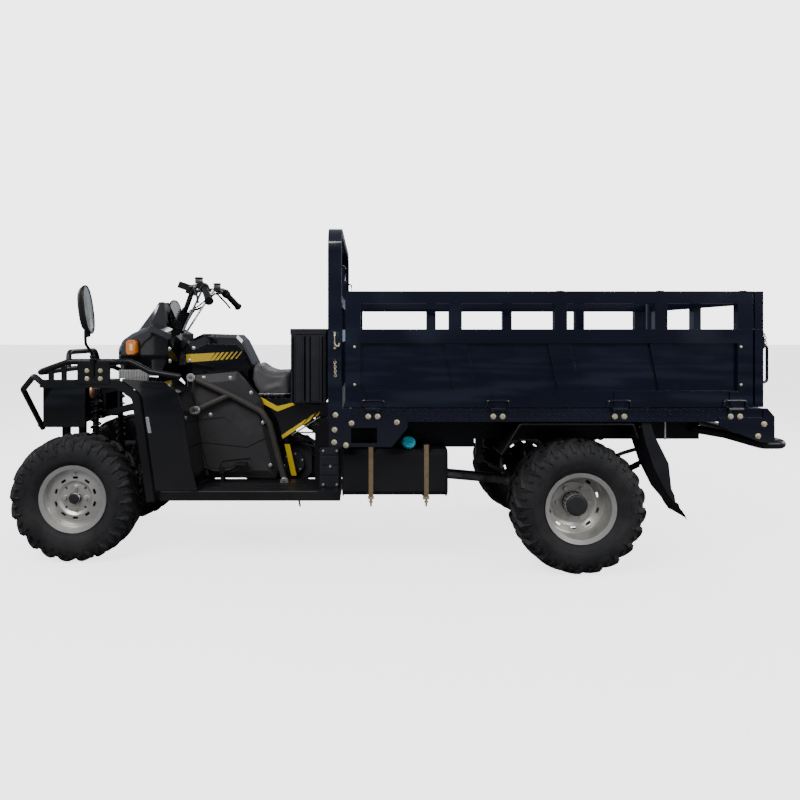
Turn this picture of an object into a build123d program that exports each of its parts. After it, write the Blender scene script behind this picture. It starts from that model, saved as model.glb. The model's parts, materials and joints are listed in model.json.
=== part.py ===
from build123d import *
import os
from math import asin, cos, pi, radians, sin, tan

# Four-wheel cargo quad with a drop-side bed. Millimetres, +z up, ground at z = 0.
# Stations x are measured from the front axle line, rising to the tail; y = 0 is the middle plane
# and -y is the rider's left. Everything is moved by -MID_X at the end, so the origin is on the
# ground under the middle of the vehicle.
os.makedirs("parts", exist_ok=True)

# Wheels and axles
WHEELBASE = 2447.0
TYRE_R = 315.0
BEAD_R = 150.0
FLANGE_R = 167.0
RIM_WALL = 4.0
FRONT_TYRE_W = 200.0
FRONT_TYRE_Y = 390.0
FRONT_RIM_W = 150.0
FRONT_DISC_IN = 42.0
REAR_TYRE_W = 250.0
REAR_TYRE_Y = 543.0
REAR_RIM_W = 205.0
REAR_DISC_IN = 128.0
TYRE_FLATS = 24
LUGS = 16
LUG_T = 26.0
LUG_H = 16.0
LUG_SLANT = 20.0
LUG_START = 5.0
KINGPIN_Y = 318.0
KNUCKLE_HALF_H = 70.0
STUB_R = 15.0
RUNNING = 0.05
SEAT_GAP = 0.3

# Steering column and linkage
COLUMN_TOP = (468.0, 0.0, 1366.0)
COLUMN_TILT = 20.0
ARM_Z = 337.0
ARM_H = 12.0
STEER_ARM = 70.0
PITMAN_HALF = 32.0
ROD_R = 7.0
EYE_R = 11.0
EYE_H = 18.0

# Chassis
RAIL_Y = 360.0
RAIL_W = 50.0
RAIL_TOP = 700.0
RAIL_BOTTOM = 600.0
RAIL_FRONT_X = 1207.0
RAIL_REAR_X = 3123.0
FRAME_TUBE = 34.0
FRAME_Y = 104.0
FRAME_LOW_Z = 250.0

# Bed
BED_FRONT_X = 1267.0
BED_REAR_X = 3310.0
BED_HALF_W = 625.0
FLOOR_TOP = 781.0
SKIRT_BOTTOM = 718.0
SHEET = 5.0
GATE_THICK = 40.0
GATE_TOP = 1330.0
GATE_CLEAR = 6.0
TOP_RAIL_H = 58.0
MID_RAIL_TOP = 1152.0
MID_RAIL_H = 66.0
LOWER_RAIL_TOP = 863.0
PANEL_RECESS = 18.0
POST_W = 59.0
END_POST_W = 71.0
HOOP_X = 64.0
HOOP_Y = 40.0
HOOP_RISE = 310.0
HOOP_TOP = GATE_TOP + HOOP_RISE
HOOP_BEND = 95.0
HINGE_OUT = 10.0
HINGE_Z = 778.0
HINGE_R = 9.0
HINGE_XS = (1478.0, 2062.0, 2630.0, 3171.0)

# Cockpit and guards
GUARD_Y = 535.0
GUARD_TUBE = 28.0
MIRROR_Y = 705.0
STEM_DIA = 13.0
STEM_Y = GUARD_Y + GUARD_TUBE / 2 + STEM_DIA / 2 + 0.5
BULL_FOOT_X = -309.0
GRILLE_X = (-248.0, -28.0)
GRILLE_Y = 250.0
GRILLE_Z = (640.0, 862.0)

# Tank under the bed
TANK_X = (WHEELBASE - 1116.0, WHEELBASE - 610.0)
TANK_Y = (400.0, 560.0)
TANK_Z = (356.0, 576.0)

# Rear bumper
BUMPER_TUBE = 42.0
BUMPER_X = 3429.0
BUMPER_Y = 590.0
BUMPER_Z = 606.0

NOSE_X = BULL_FOOT_X - GUARD_TUBE / 2
TAIL_X = BUMPER_X + BUMPER_TUBE / 2
MID_X = (NOSE_X + TAIL_X) / 2


def save(name, *solids):
    """Write one node; several solids of a node stay apart in one compound."""
    shape = solids[0] if len(solids) == 1 else Compound(children=list(solids))
    export_step(Pos(-MID_X, 0, 0) * shape, f"parts/{name}.step")


def slab(x, y, z):
    """Straight block between a low and a high value on each axis."""
    centre = ((x[0] + x[1]) / 2, (y[0] + y[1]) / 2, (z[0] + z[1]) / 2)
    return Pos(*centre) * Box(x[1] - x[0], y[1] - y[0], z[1] - z[0])


def side_plate(outline, y):
    """Flat plate whose outline is given as (x, z), between two values of y."""
    face = make_face(Polyline([(px, y[0], pz) for px, pz in outline], close=True))
    return extrude(face, y[1] - y[0], dir=(0, 1, 0))


def rod(start, end, radius):
    """Straight round bar between two points."""
    a = Vector(*start)
    b = Vector(*end)
    plane = Plane(origin=a, z_dir=(b - a).normalized())
    return extrude(plane * Circle(radius), (b - a).length)


def pipe(points, dia, bend):
    """Bent round tube through the points, every corner with the same bend radius."""
    path = FilletPolyline(*points, radius=bend) if len(points) > 2 else Line(*points)
    plane = Plane(origin=path @ 0, z_dir=path % 0)
    return sweep(plane * Circle(dia / 2), path=path)


def other_side(shape):
    """The same piece on the right-hand side."""
    return mirror(shape, about=Plane.XZ)


def on_wheel(shape, x, y, side):
    """Place a part built about +Z at a wheel centre, its +Z towards that side's outside."""
    turn = 90 if side < 0 else -90
    return Pos(x, side * y, TYRE_R) * Rot(turn, 0, 0) * shape


def turned(profile):
    """Solid of revolution about Z from (radius, height) points."""
    face = make_face(Polyline([(r, 0, z) for r, z in profile], close=True))
    return revolve(face, axis=Axis.Z)


def many_sided(sections):
    """Body with TYRE_FLATS flats round the z axis; sections are (height, radius to the flats)."""
    corner = 1 / cos(pi / TYRE_FLATS)
    return loft([Pos(0, 0, z) * RegularPolygon(r * corner, TYRE_FLATS) for z, r in sections], ruled=True)


def lug(half):
    """Slanted block on one half of the tread, from near the middle round the shoulder."""
    turn = radians(LUG_SLANT)
    end = LUG_START + (half - LUG_START - LUG_T / 2 * sin(turn)) / cos(turn)
    drop = TYRE_R - LUG_H
    outline = [(drop - 8, LUG_START), (TYRE_R, LUG_START), (TYRE_R - 4, 0.66 * end), (TYRE_R - 54, end),
               (TYRE_R - 66, 0.8 * end)]
    face = make_face(Polyline([(r, 0, z) for r, z in outline], close=True))
    block = extrude(face, LUG_T / 2, dir=(0, 1, 0), both=True)
    return Pos(0, 0, LUG_START) * Rot(LUG_SLANT, 0, 0) * Pos(0, 0, -LUG_START) * block


def tyre(width, rim_width):
    """Tyre body with a row of lugs down each shoulder, its bead between the rim's flanges."""
    half = width / 2
    lip = rim_width / 2
    tread = TYRE_R - LUG_H + 4
    side = [(half - 1, TYRE_R - 64), (0.68 * half, tread)]
    body = many_sided([(-z, r) for z, r in side] + [(z, r) for z, r in reversed(side)])
    body -= many_sided([(-half, BEAD_R + SEAT_GAP), (half, BEAD_R + SEAT_GAP)])
    dish = many_sided([(lip - 13, BEAD_R + SEAT_GAP), (lip - 6, FLANGE_R + SEAT_GAP), (half, 226)])
    body -= [dish, mirror(dish, about=Plane.XY)]
    block = lug(half)
    other = mirror(block, about=Plane.XY)
    pitch = 360 / LUGS
    blocks = [Rot(0, 0, pitch * i) * block for i in range(LUGS)]
    blocks += [Rot(0, 0, pitch * (i + 0.5)) * other for i in range(LUGS)]
    return body + blocks


def rim(width, disc_in, nuts, nut_circle, cap_r, cap_h, slots, slot_r, hub_r):
    """Pressed steel rim: flanges, barrel, dished disc, slots, nuts and hub cap in one."""
    lip = width / 2
    disc = lip - disc_in
    wall = RIM_WALL
    barrel = turned([(FLANGE_R, lip), (FLANGE_R, lip - wall), (BEAD_R, lip - wall - 6),
                     (BEAD_R, -lip + wall + 6), (FLANGE_R, -lip + wall), (FLANGE_R, -lip),
                     (BEAD_R - wall, -lip + 6), (BEAD_R - wall, lip - 6)])
    dish = turned([(0, disc), (hub_r, disc), (hub_r + 14, disc + 9), (BEAD_R - wall, disc + 3),
                   (BEAD_R - wall, disc - 4), (hub_r + 16, disc + 2), (hub_r + 2, disc - 7),
                   (0, disc - 7)])
    for i in range(slots):
        hole = Pos(slot_r, 0, disc) * Box(12, 26, 40)
        dish -= Rot(0, 0, 360 / slots * (i + 0.5)) * hole
    wheel = barrel + dish
    for i in range(nuts):
        nut = Pos(nut_circle, 0, disc - 2) * extrude(RegularPolygon(10, 6), 17)
        wheel += Rot(0, 0, 360 / nuts * i) * nut
    cap = Pos(0, 0, disc - 1) * Cylinder(cap_r, cap_h, align=(Align.CENTER, Align.CENTER, Align.MIN))
    cap = chamfer(cap.edges().group_by(Axis.Z)[-1], 5)
    hub = Pos(0, 0, disc - 34) * Cylinder(hub_r - 8, 30, align=(Align.CENTER, Align.CENTER, Align.MIN))
    bore = Pos(0, 0, disc - 40) * Cylinder(STUB_R + RUNNING, 36, align=(Align.CENTER, Align.CENTER, Align.MIN))
    return wheel + cap + hub - bore


FRONT_DISC_Y = FRONT_TYRE_Y + FRONT_RIM_W / 2 - FRONT_DISC_IN
REAR_DISC_Y = REAR_TYRE_Y + REAR_RIM_W / 2 - REAR_DISC_IN
STUB_TIP_IN = 5.0
DRUM_BACK = 38.0

front_tyre = tyre(FRONT_TYRE_W, FRONT_RIM_W)
rear_tyre = tyre(REAR_TYRE_W, REAR_RIM_W)
front_rim = rim(FRONT_RIM_W, FRONT_DISC_IN, 4, 52, 27, 24, 10, 100, 72)
rear_rim = rim(REAR_RIM_W, REAR_DISC_IN, 6, 78, 53, 62, 10, 122, 98)

# like wheels: name, station, half track, side, tyre, rim
WHEELS = (
    ("front_left", 0.0, FRONT_TYRE_Y, -1, front_tyre, front_rim),
    ("front_right", 0.0, FRONT_TYRE_Y, 1, front_tyre, front_rim),
    ("rear_left", WHEELBASE, REAR_TYRE_Y, -1, rear_tyre, rear_rim),
    ("rear_right", WHEELBASE, REAR_TYRE_Y, 1, rear_tyre, rear_rim),
)
for place, station, half_track, side, body, disc in WHEELS:
    save(f"tyre_{place}", on_wheel(body, station, half_track, side))
    save(f"rim_{place}", on_wheel(disc, station, half_track, side))


def knuckle(side):
    """Upright between the ball joints, with stub axle, brake drum and steering arm."""
    y = side * KINGPIN_Y
    low = TYRE_R - KNUCKLE_HALF_H
    high = TYRE_R + KNUCKLE_HALF_H
    body = slab((-20, 20), (y - 14, y + 14), (low + 8, high - 8))
    body += rod((0, y, low), (0, y, high), 11)
    tip = side * (FRONT_DISC_Y - STUB_TIP_IN)
    body += rod((0, y, TYRE_R), (0, tip, TYRE_R), STUB_R)
    drum = side * (FRONT_DISC_Y - DRUM_BACK)
    body += rod((0, drum, TYRE_R), (0, drum - side * 34, TYRE_R), 78)
    reach = STEER_ARM + 12
    arm = [(0, ARM_Z), (0, ARM_Z + ARM_H), (reach, ARM_Z + ARM_H), (reach, ARM_Z)]
    body += side_plate(arm, (y - 9, y + 9))
    return body


save("knuckle_left", knuckle(-1))
save("knuckle_right", knuckle(1))

# Tie rods lie between the steering arm's eye and the pitman plate's eye
ROD_Z = ARM_Z - SEAT_GAP - EYE_H / 2
PITMAN_EDGE = STEER_ARM + 12
PITMAN_Z = ARM_Z + sin(radians(COLUMN_TILT)) * PITMAN_EDGE + 1
COLUMN_FOOT_X = COLUMN_TOP[0] - tan(radians(COLUMN_TILT)) * (COLUMN_TOP[2] - PITMAN_Z)
PITMAN_EYE_X = COLUMN_FOOT_X + STEER_ARM * cos(radians(COLUMN_TILT))


def tie_rod(side):
    """Straight rod with a round eye block at each end."""
    outer = (STEER_ARM, side * KINGPIN_Y, ROD_Z)
    inner = (PITMAN_EYE_X, side * PITMAN_HALF, ROD_Z)
    body = rod(outer, inner, ROD_R)
    for x, y, z in (outer, inner):
        body += Pos(x, y, z) * Cylinder(EYE_R, EYE_H)
    return body


save("tie_rod_left", tie_rod(-1))
save("tie_rod_right", tie_rod(1))


def on_column(shape, along=0.0):
    """Place a part built about +Z on the tilted column, `along` down from its top."""
    return Pos(*COLUMN_TOP) * Rot(0, COLUMN_TILT, 0) * Pos(0, 0, -along) * shape


COLUMN_LEN = (COLUMN_TOP[2] - PITMAN_Z) / cos(radians(COLUMN_TILT))
COLUMN_R = 14.0
COLUMN_FOOT = COLUMN_LEN + 118
column = on_column(Cylinder(COLUMN_R, COLUMN_FOOT, align=(Align.CENTER, Align.CENTER, Align.MAX)))
pitman_face = Polyline((-14, -20), (20, -46), (PITMAN_EDGE, -44), (PITMAN_EDGE, 44), (20, 46),
                       (-14, 20), close=True)
pitman = on_column(extrude(make_face(pitman_face), 9), COLUMN_LEN)
clamp = on_column(Box(44, 96, 34))
BAR_DIA = 22.0
GRIP_DIA = 34.0
bar_half = [(COLUMN_TOP[0] + 4, 60, 1372), (COLUMN_TOP[0] + 28, 130, 1384), (588, 232, 1388), (651, 375, 1298)]
bar_points = [(x, -y, z) for x, y, z in reversed(bar_half)] + bar_half
bar = pipe(bar_points, BAR_DIA, 28)
grips = [rod((606, s * 272, 1362.8), (653, s * 379, 1295.5), GRIP_DIA / 2) for s in (-1, 1)]
pod = on_column(slab((-74, -20), (-46, 46), (-4, 32)))
save("steering_column", column + pitman + clamp + pod)
bar = bar - on_column(Box(44.6, 96.6, 34.6)) - pod
LEVER_DIA = 11.0
for s, grip in zip((-1, 1), grips):
    bar += grip + rod((593, s * 243, 1380.6), (603.5, s * 267, 1366), 19)
    bar += pipe([(596, s * 252, 1374), (548, s * 262, 1370), (584, s * 344, 1318), (600, s * 392, 1288)],
                LEVER_DIA, 14)
save("handlebar", bar)

# Wishbones: name of level, height, inner half spread
ARM_TUBE = 22.0
ARM_DROP = ARM_TUBE / 2 + 1
ARM_LEVELS = (("lower", TYRE_R - KNUCKLE_HALF_H - ARM_DROP, 120.0),
              ("upper", TYRE_R + KNUCKLE_HALF_H + ARM_DROP, 90.0))
PIVOT_Y = FRAME_Y + FRAME_TUBE / 2 + 13.3
PIVOT_R = 13.0
SHOCK_FOOT_Y = 215.0
SHOCK_HEAD_Y = 165.0
SHOCK_HEAD_Z = 800.0
SHOCK_BAR_R = 9.0


def wishbone(side, z, spread, shock_bar):
    """Two-legged arm from its pivots on the frame to the ball joint at the upright."""
    ball = (0, side * KINGPIN_Y, z)
    body = Pos(*ball) * Cylinder(16, 2 * (ARM_DROP - SEAT_GAP))
    for x in (-spread, spread):
        body += rod(ball, (x, side * PIVOT_Y, z), ARM_TUBE / 2)
        body += rod((x - 22, side * PIVOT_Y, z), (x + 22, side * PIVOT_Y, z), PIVOT_R)
    if shock_bar:
        half = spread * (KINGPIN_Y - SHOCK_FOOT_Y) / (KINGPIN_Y - PIVOT_Y)
        body += rod((-half, side * SHOCK_FOOT_Y, z), (half, side * SHOCK_FOOT_Y, z), SHOCK_BAR_R)
    return body


arms = [wishbone(side, z, spread, name == "lower") for side in (-1, 1) for name, z, spread in ARM_LEVELS]
save("wishbones", *arms)

# Coil shocks from the lower arms up to the frame
COIL_R = 27.0
COIL_TURNS = 9
COIL_FLATS = 12
SHOCK_FOOT_Z = ARM_LEVELS[0][1] + SHOCK_BAR_R + 1


def shock(side):
    """Damper body, rod and the stack of coil turns round it."""
    foot = Vector(0, side * SHOCK_FOOT_Y, SHOCK_FOOT_Z)
    head = Vector(0, side * SHOCK_HEAD_Y, SHOCK_HEAD_Z)
    plane = Plane(origin=foot, z_dir=(head - foot).normalized())
    length = (head - foot).length
    start = 190
    stack = length - start - 40
    pitch = stack / COIL_TURNS
    body = extrude(plane * Circle(SHOCK_BAR_R), length)
    body += extrude(plane.offset(40) * Circle(20), start + stack - 50)
    body += extrude(plane.offset(start - 14) * Circle(COIL_R + 2), 8)
    for i in range(COIL_TURNS):
        body += extrude(plane.offset(start + pitch * i) * RegularPolygon(COIL_R, COIL_FLATS), pitch * 0.55)
    body += extrude(plane.offset(length - 40) * Circle(COIL_R + 2), 14)
    return body


save("front_shocks", shock(-1), shock(1))


def beam(start, end, size):
    """Straight square tube between two points, run on by half its width at both ends."""
    a = Vector(*start)
    b = Vector(*end)
    along = (b - a).normalized()
    across = Vector(0, 1, 0) if abs(along.Y) < 0.9 else Vector(1, 0, 0)
    plane = Plane(origin=a - along * (size / 2), x_dir=across.cross(along), z_dir=along)
    return extrude(plane * Rectangle(size, size), (b - a).length + size)


# Front frame of square tube: corner points of the low and the high side member
NOSE_FRAME_X = -190.0
SHOULDER_Z = 640.0
TOWER_Z = SHOCK_HEAD_Z + 20
WIDE_Y = 190.0
low_side = [(NOSE_FRAME_X, -FRAME_Y, FRAME_LOW_Z), (360, -FRAME_Y, FRAME_LOW_Z), (520, -WIDE_Y, 300),
            (1190, -WIDE_Y, 300)]
high_side = [(NOSE_FRAME_X, -FRAME_Y, SHOULDER_Z), (330, -FRAME_Y, SHOULDER_Z + 130),
             (760, -150, SHOULDER_Z + 130), (1190, -WIDE_Y, SHOULDER_Z + 10)]
half_frame = beam(low_side[0], high_side[0], FRAME_TUBE)
for members in (low_side, high_side):
    for start, end in zip(members, members[1:]):
        half_frame += beam(start, end, FRAME_TUBE)
half_frame += beam((330, -FRAME_Y, FRAME_LOW_Z), (330, -FRAME_Y, SHOULDER_Z + 130), FRAME_TUBE)
half_frame += beam((1190, -WIDE_Y, 300), (1190, -WIDE_Y, SHOULDER_Z + 10), FRAME_TUBE)
half_frame += beam((0, -FRAME_Y, SHOULDER_Z + 48), (0, -FRAME_Y, TOWER_Z), FRAME_TUBE)
half_frame += beam((1190, -WIDE_Y, SHOULDER_Z + 10), (1190, -RAIL_Y, SHOULDER_Z + 10), FRAME_TUBE)
front_frame = half_frame + other_side(half_frame)
# engine mounts stand on two of the cross members
MOUNT_XS = (820.0, 1090.0)
# cross members: station, height, half width
CROSS_MEMBERS = ((NOSE_FRAME_X, FRAME_LOW_Z, FRAME_Y), (330, FRAME_LOW_Z, FRAME_Y), (1190, 300, WIDE_Y),
                 (NOSE_FRAME_X, SHOULDER_Z, FRAME_Y), (330, SHOULDER_Z + 130, FRAME_Y),
                 (1190, SHOULDER_Z + 10, WIDE_Y), (0, TOWER_Z, SHOCK_HEAD_Y + 20),
                 (COLUMN_FOOT_X - 12, FRAME_LOW_Z, FRAME_Y),
                 (MOUNT_XS[0], 300, WIDE_Y), (MOUNT_XS[1], 300, WIDE_Y))
for x, z, y in CROSS_MEMBERS:
    front_frame += beam((x, -y, z), (x, y, z), FRAME_TUBE)
BOARD_TOP = 368.0
BOARD_BOTTOM = 322.0
BOARD_Y = (240.0, 520.0)
BOARD_X = (449.0, TANK_X[0] - 11)
TANK_BASE_Z = 792.0
BOX_BASE_Z = 773.0
COWL_BASE_Z = 900.0
BOARD_T = 4.0
ARM_XS = (620.0, 900.0, 1190.0)
arm_z = BOARD_TOP - BOARD_T - SEAT_GAP - FRAME_TUBE / 2
for side in (-1, 1):
    for x in ARM_XS:
        front_frame += beam((x, side * WIDE_Y, arm_z), (x, side * (BOARD_Y[1] - 30), arm_z), FRAME_TUBE)
        front_frame += beam((x, side * WIDE_Y, 300), (x, side * WIDE_Y, arm_z), FRAME_TUBE)
    front_frame += slab((985, 1015), sorted((side * 157, side * 187)), (703, TANK_BASE_Z))
    front_frame += slab((430, 460), sorted((side * 95, side * 125)), (760, TANK_BASE_Z))
    front_frame += slab((1175, 1205), sorted((side * 175, side * 205)), (SHOULDER_Z, BOX_BASE_Z))
    front_frame += slab((316, 344), sorted((side * 34, side * 60)), (SHOULDER_Z + 120, COWL_BASE_Z - SEAT_GAP))
BEARING_ALONG = 640.0
front_frame += on_column(slab((-28, 110), (-30, 30), (-22, 22)), BEARING_ALONG)
front_frame -= on_column(Cylinder(COLUMN_R + RUNNING, 2 * COLUMN_LEN), COLUMN_LEN / 2)
save("front_frame", front_frame)

# Box rails from the cockpit back, with cross members between them
SPRING_HALF = 430.0
RAIL_IN = RAIL_Y - RAIL_W / 2
rail = slab((RAIL_FRONT_X, RAIL_REAR_X), (-RAIL_Y - RAIL_W / 2, -RAIL_IN), (RAIL_BOTTOM, RAIL_TOP))
rail += slab((RAIL_FRONT_X, WHEELBASE - SPRING_HALF - 27), (-RAIL_Y - RAIL_W / 2, -RAIL_IN), (RAIL_BOTTOM - 40, RAIL_BOTTOM + 10))
chassis = rail + other_side(rail)
for x in (1250, 1700, 2130, 2760, 3070):
    chassis += slab((x - 30, x + 30), (-RAIL_IN - 5, RAIL_IN + 5), (RAIL_BOTTOM + 15, RAIL_TOP - 15))
STRAP_XS = (TANK_X[0] + 138, TANK_X[1] - 103)
CRADLE_Z = (TANK_Z[1] + SEAT_GAP, TANK_Z[1] + 24)
for x in STRAP_XS:
    chassis += slab((x - 16, x + 16), (-TANK_Y[1] + SEAT_GAP, -RAIL_Y), CRADLE_Z)
save("chassis_rails", chassis)

# Engine: crankcase with round side covers, finned cylinder with its head, gearbox and mounting feet
ENGINE_X = (760.0, 1150.0)
ENGINE_Z = (336.0, 545.0)
ENGINE_HALF = 118.0
GEARBOX_END = 1290.0
CYLINDER_X = 880.0
HEAD_Z = (662.0, 716.0)
HEAD_HALF = 72.0
FIN_T = 5.0
FIN_COUNT = 8
case = chamfer(slab(ENGINE_X, (-ENGINE_HALF, ENGINE_HALF), ENGINE_Z).edges().filter_by(Axis.Y), 42)
gearbox = slab((ENGINE_X[1] - 60, GEARBOX_END), (-80, 80), (348, 505))
engine = case + chamfer(gearbox.edges().filter_by(Axis.X), 24)
# side covers: station, height, radius, how far out from the crankcase
COVERS = ((885.0, 440.0, 88.0, 30.0), (885.0, 440.0, 52.0, 42.0), (1052.0, 432.0, 60.0, 22.0))
for side in (-1, 1):
    for x, z, radius, out in COVERS:
        engine += rod((x, side * (ENGINE_HALF - 4), z), (x, side * (ENGINE_HALF + out), z), radius)
engine += slab((CYLINDER_X - 56, CYLINDER_X + 56), (-56, 56), (ENGINE_Z[1] - 6, HEAD_Z[0] + 4))
fin_pitch = (HEAD_Z[0] - ENGINE_Z[1]) / FIN_COUNT
for i in range(FIN_COUNT):
    z = ENGINE_Z[1] + fin_pitch * (i + 0.4)
    engine += slab((CYLINDER_X - 80, CYLINDER_X + 80), (-78, 78), (z, z + FIN_T))
engine += slab((CYLINDER_X - HEAD_HALF, CYLINDER_X + HEAD_HALF), (-HEAD_HALF, HEAD_HALF), HEAD_Z)
MOUNT_TOP = 300 + FRAME_TUBE / 2
for x in MOUNT_XS:
    engine += slab((x - 22, x + 22), (-70, 70), (MOUNT_TOP + SEAT_GAP, ENGINE_Z[0] + 44))
save("engine_block", engine)

# Exhaust: pipe from the head back under the cross members to a silencer below the right-hand rail
PIPE_DIA = 36.0
SILENCER = (1430.0, 1800.0)
SILENCER_Y = 470.0
SILENCER_Z = 450.0
SILENCER_R = 60.0
exhaust = pipe([(CYLINDER_X + HEAD_HALF + SEAT_GAP, 40, 690), (1010, 40, 690), (1130, 110, 588), (1250, 140, 572),
                (1330, 330, 470), (SILENCER[0] + 10, SILENCER_Y, SILENCER_Z)], PIPE_DIA, 44)
can = rod((SILENCER[0], SILENCER_Y, SILENCER_Z), (SILENCER[1], SILENCER_Y, SILENCER_Z), SILENCER_R)
exhaust += chamfer(can.edges(), 10)
exhaust += rod((SILENCER[1] - 20, SILENCER_Y, SILENCER_Z - 20), (SILENCER[1] + 46, SILENCER_Y, SILENCER_Z - 34), 15)
hanger_top = RAIL_BOTTOM - 40 - SEAT_GAP
for x in (SILENCER[0] + 90, SILENCER[1] - 90):
    exhaust += slab((x - 12, x + 12), (RAIL_Y - 14, RAIL_Y + 16), (hanger_top - 8, hanger_top))
    exhaust += beam((x, RAIL_Y + 8, hanger_top - 9), (x, SILENCER_Y - 20, SILENCER_Z + SILENCER_R - 8), 10)
save("exhaust", exhaust)

# Rear axle: tube, differential, drums and backing; the stubs carry the wheels
AXLE_R = 38.0
DIFF_R = 105.0
REAR_DRUM_R = 112.0
REAR_DRUM_W = 52.0
drum_out = REAR_DISC_Y - 42
axle = rod((WHEELBASE, -drum_out, TYRE_R), (WHEELBASE, drum_out, TYRE_R), AXLE_R)
stub_end = REAR_DISC_Y - STUB_TIP_IN
axle += rod((WHEELBASE, -stub_end, TYRE_R), (WHEELBASE, stub_end, TYRE_R), STUB_R)
pumpkin = turned([(0, -DIFF_R), (50, -DIFF_R), (DIFF_R, -34), (DIFF_R, 34), (50, DIFF_R), (0, DIFF_R)])
axle += Pos(WHEELBASE, 0, TYRE_R) * Rot(90, 0, 0) * pumpkin
axle += rod((WHEELBASE - 190, 0, TYRE_R), (WHEELBASE, 0, TYRE_R), 42)
for side in (-1, 1):
    axle += rod((WHEELBASE, side * (drum_out - REAR_DRUM_W), TYRE_R), (WHEELBASE, side * drum_out, TYRE_R),
                REAR_DRUM_R)
save("rear_axle", axle)

# Battery box between the left footboard's tail and the rail above it
BATTERY_X = (1214.0, TANK_X[0] - 14)
battery = slab(BATTERY_X, (-430, -246), (BOARD_TOP + SEAT_GAP, RAIL_BOTTOM - 40 - SEAT_GAP))
battery = chamfer(battery.edges().filter_by(Axis.Z), 8)
for z in (420, 470, 520):
    battery -= slab(BATTERY_X, (-431, -427), (z, z + 8))
save("battery_box", battery)

# Propeller shaft from the gearbox to the differential nose
SHAFT_R = 28.0
SHAFT_START = (GEARBOX_END + SEAT_GAP, 0, 400.0)
SHAFT_END = (WHEELBASE - 190 - 12, 0, TYRE_R)
save("prop_shaft", rod(SHAFT_START, SHAFT_END, SHAFT_R) + Pos(*SHAFT_END) * Sphere(40)
     - slab((WHEELBASE - 190 - SEAT_GAP, WHEELBASE), (-60, 60), (TYRE_R - 60, TYRE_R + 60))
     - slab((ENGINE_X[0], GEARBOX_END + SEAT_GAP), (-60, 60), ENGINE_Z))

# Leaf springs: arched pack on the axle, eyes on hangers under the rails
SPRING_W = 46.0
SPRING_SAG = 120.0
LEAF_T = 8.0
# each leaf's share of the half length, from the main leaf down
LEAVES = (1.0, 0.86, 0.62, 0.38)
SPRING_T = LEAF_T * len(LEAVES)
SEAT_Z = TYRE_R + AXLE_R + SEAT_GAP


def leaf_spring(side):
    """Arched stack of leaves with its two eyes and the hangers up to the rail."""
    y = side * RAIL_Y
    low = SEAT_Z + SPRING_T - LEAF_T / 2
    reach = (SPRING_HALF ** 2 + SPRING_SAG ** 2) / (2 * SPRING_SAG)
    pack = None
    for i, share in enumerate(LEAVES):
        inner = reach - LEAF_T / 2 + LEAF_T * i
        outer = inner + LEAF_T
        turn = share * asin(SPRING_HALF / reach)
        arcs = []
        for radius in (inner, outer):
            arcs.append([(WHEELBASE + radius * sin(a), y - SPRING_W / 2, low + reach - radius * cos(a))
                         for a in (-turn, 0, turn)])
        leaf = make_face([ThreePointArc(*arcs[0]), Line(arcs[0][2], arcs[1][2]),
                          ThreePointArc(*reversed(arcs[1])), Line(arcs[1][0], arcs[0][0])])
        leaf = extrude(leaf, SPRING_W, dir=(0, 1, 0))
        pack = leaf if pack is None else pack + leaf
    for x in (WHEELBASE - SPRING_HALF, WHEELBASE + SPRING_HALF):
        eye = rod((x, y - SPRING_W / 2, low + SPRING_SAG), (x, y + SPRING_W / 2, low + SPRING_SAG), 24)
        hanger = slab((x - 16, x + 16), (y - 18, y + 18), (low + SPRING_SAG, RAIL_BOTTOM))
        pack += eye + hanger
    return pack


save("leaf_springs", leaf_spring(-1), leaf_spring(1))

# Bed floor: plate, skirt all round, cross channels, sills on the rails, hinge leaves and gussets
EDGE = BED_HALF_W
deck = slab((BED_FRONT_X, BED_REAR_X), (-EDGE, EDGE), (SKIRT_BOTTOM, FLOOR_TOP))
deck -= slab((BED_FRONT_X + SHEET, BED_REAR_X - SHEET), (-EDGE + SHEET, EDGE - SHEET),
             (SKIRT_BOTTOM - 1, FLOOR_TOP - SHEET))
CHANNEL_XS = (1450, 1820, WHEELBASE - 257, WHEELBASE + 113, WHEELBASE + 313, 3000)
CHANNEL_Z = SKIRT_BOTTOM + 3
for x in CHANNEL_XS:
    deck += slab((x - 25, x + 25), (-EDGE + 2, EDGE - 2), (CHANNEL_Z, FLOOR_TOP - 2))
FLOOR_SHEET = 2.0
deck += slab((BED_FRONT_X + HOOP_X + 5, BED_REAR_X - GATE_THICK - 8), (GATE_THICK + 5 - EDGE, EDGE - GATE_THICK - 5),
             (FLOOR_TOP - 1, FLOOR_TOP + FLOOR_SHEET))
for side in (-1, 1):
    y = sorted((side * (RAIL_Y - 25), side * (RAIL_Y + 25)))
    deck += slab((BED_FRONT_X + 2, BED_REAR_X - 2), y, (RAIL_TOP, SKIRT_BOTTOM + 10))
FRONT_GUSSET = ((1272, SKIRT_BOTTOM + 20), (1272, 601), (1566, 601), (1640, 690), (1640, SKIRT_BOTTOM + 20))
GUSSET_HOLE = ((1376, 1497), (620, 690))
REAR_GUSSET = ((3095, SKIRT_BOTTOM + 20), (3095, 700), (3290, 622), (3355, 622), (3355, 744), (3322, 782),
               (3302, 782), (3302, SKIRT_BOTTOM + 20))
GUSSET_T = 6.0
for side in (-1, 1):
    y = sorted((side * EDGE, side * (EDGE + GUSSET_T)))
    front = side_plate(FRONT_GUSSET, y)
    front -= slab(GUSSET_HOLE[0], (y[0] - 1, y[1] + 1), GUSSET_HOLE[1])
    deck += front + side_plate(REAR_GUSSET, y)
HINGE_HALF = 34.0
TAB_HALF = 17.0


def hinge_axis_y(side):
    return side * (EDGE + HINGE_OUT)


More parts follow.
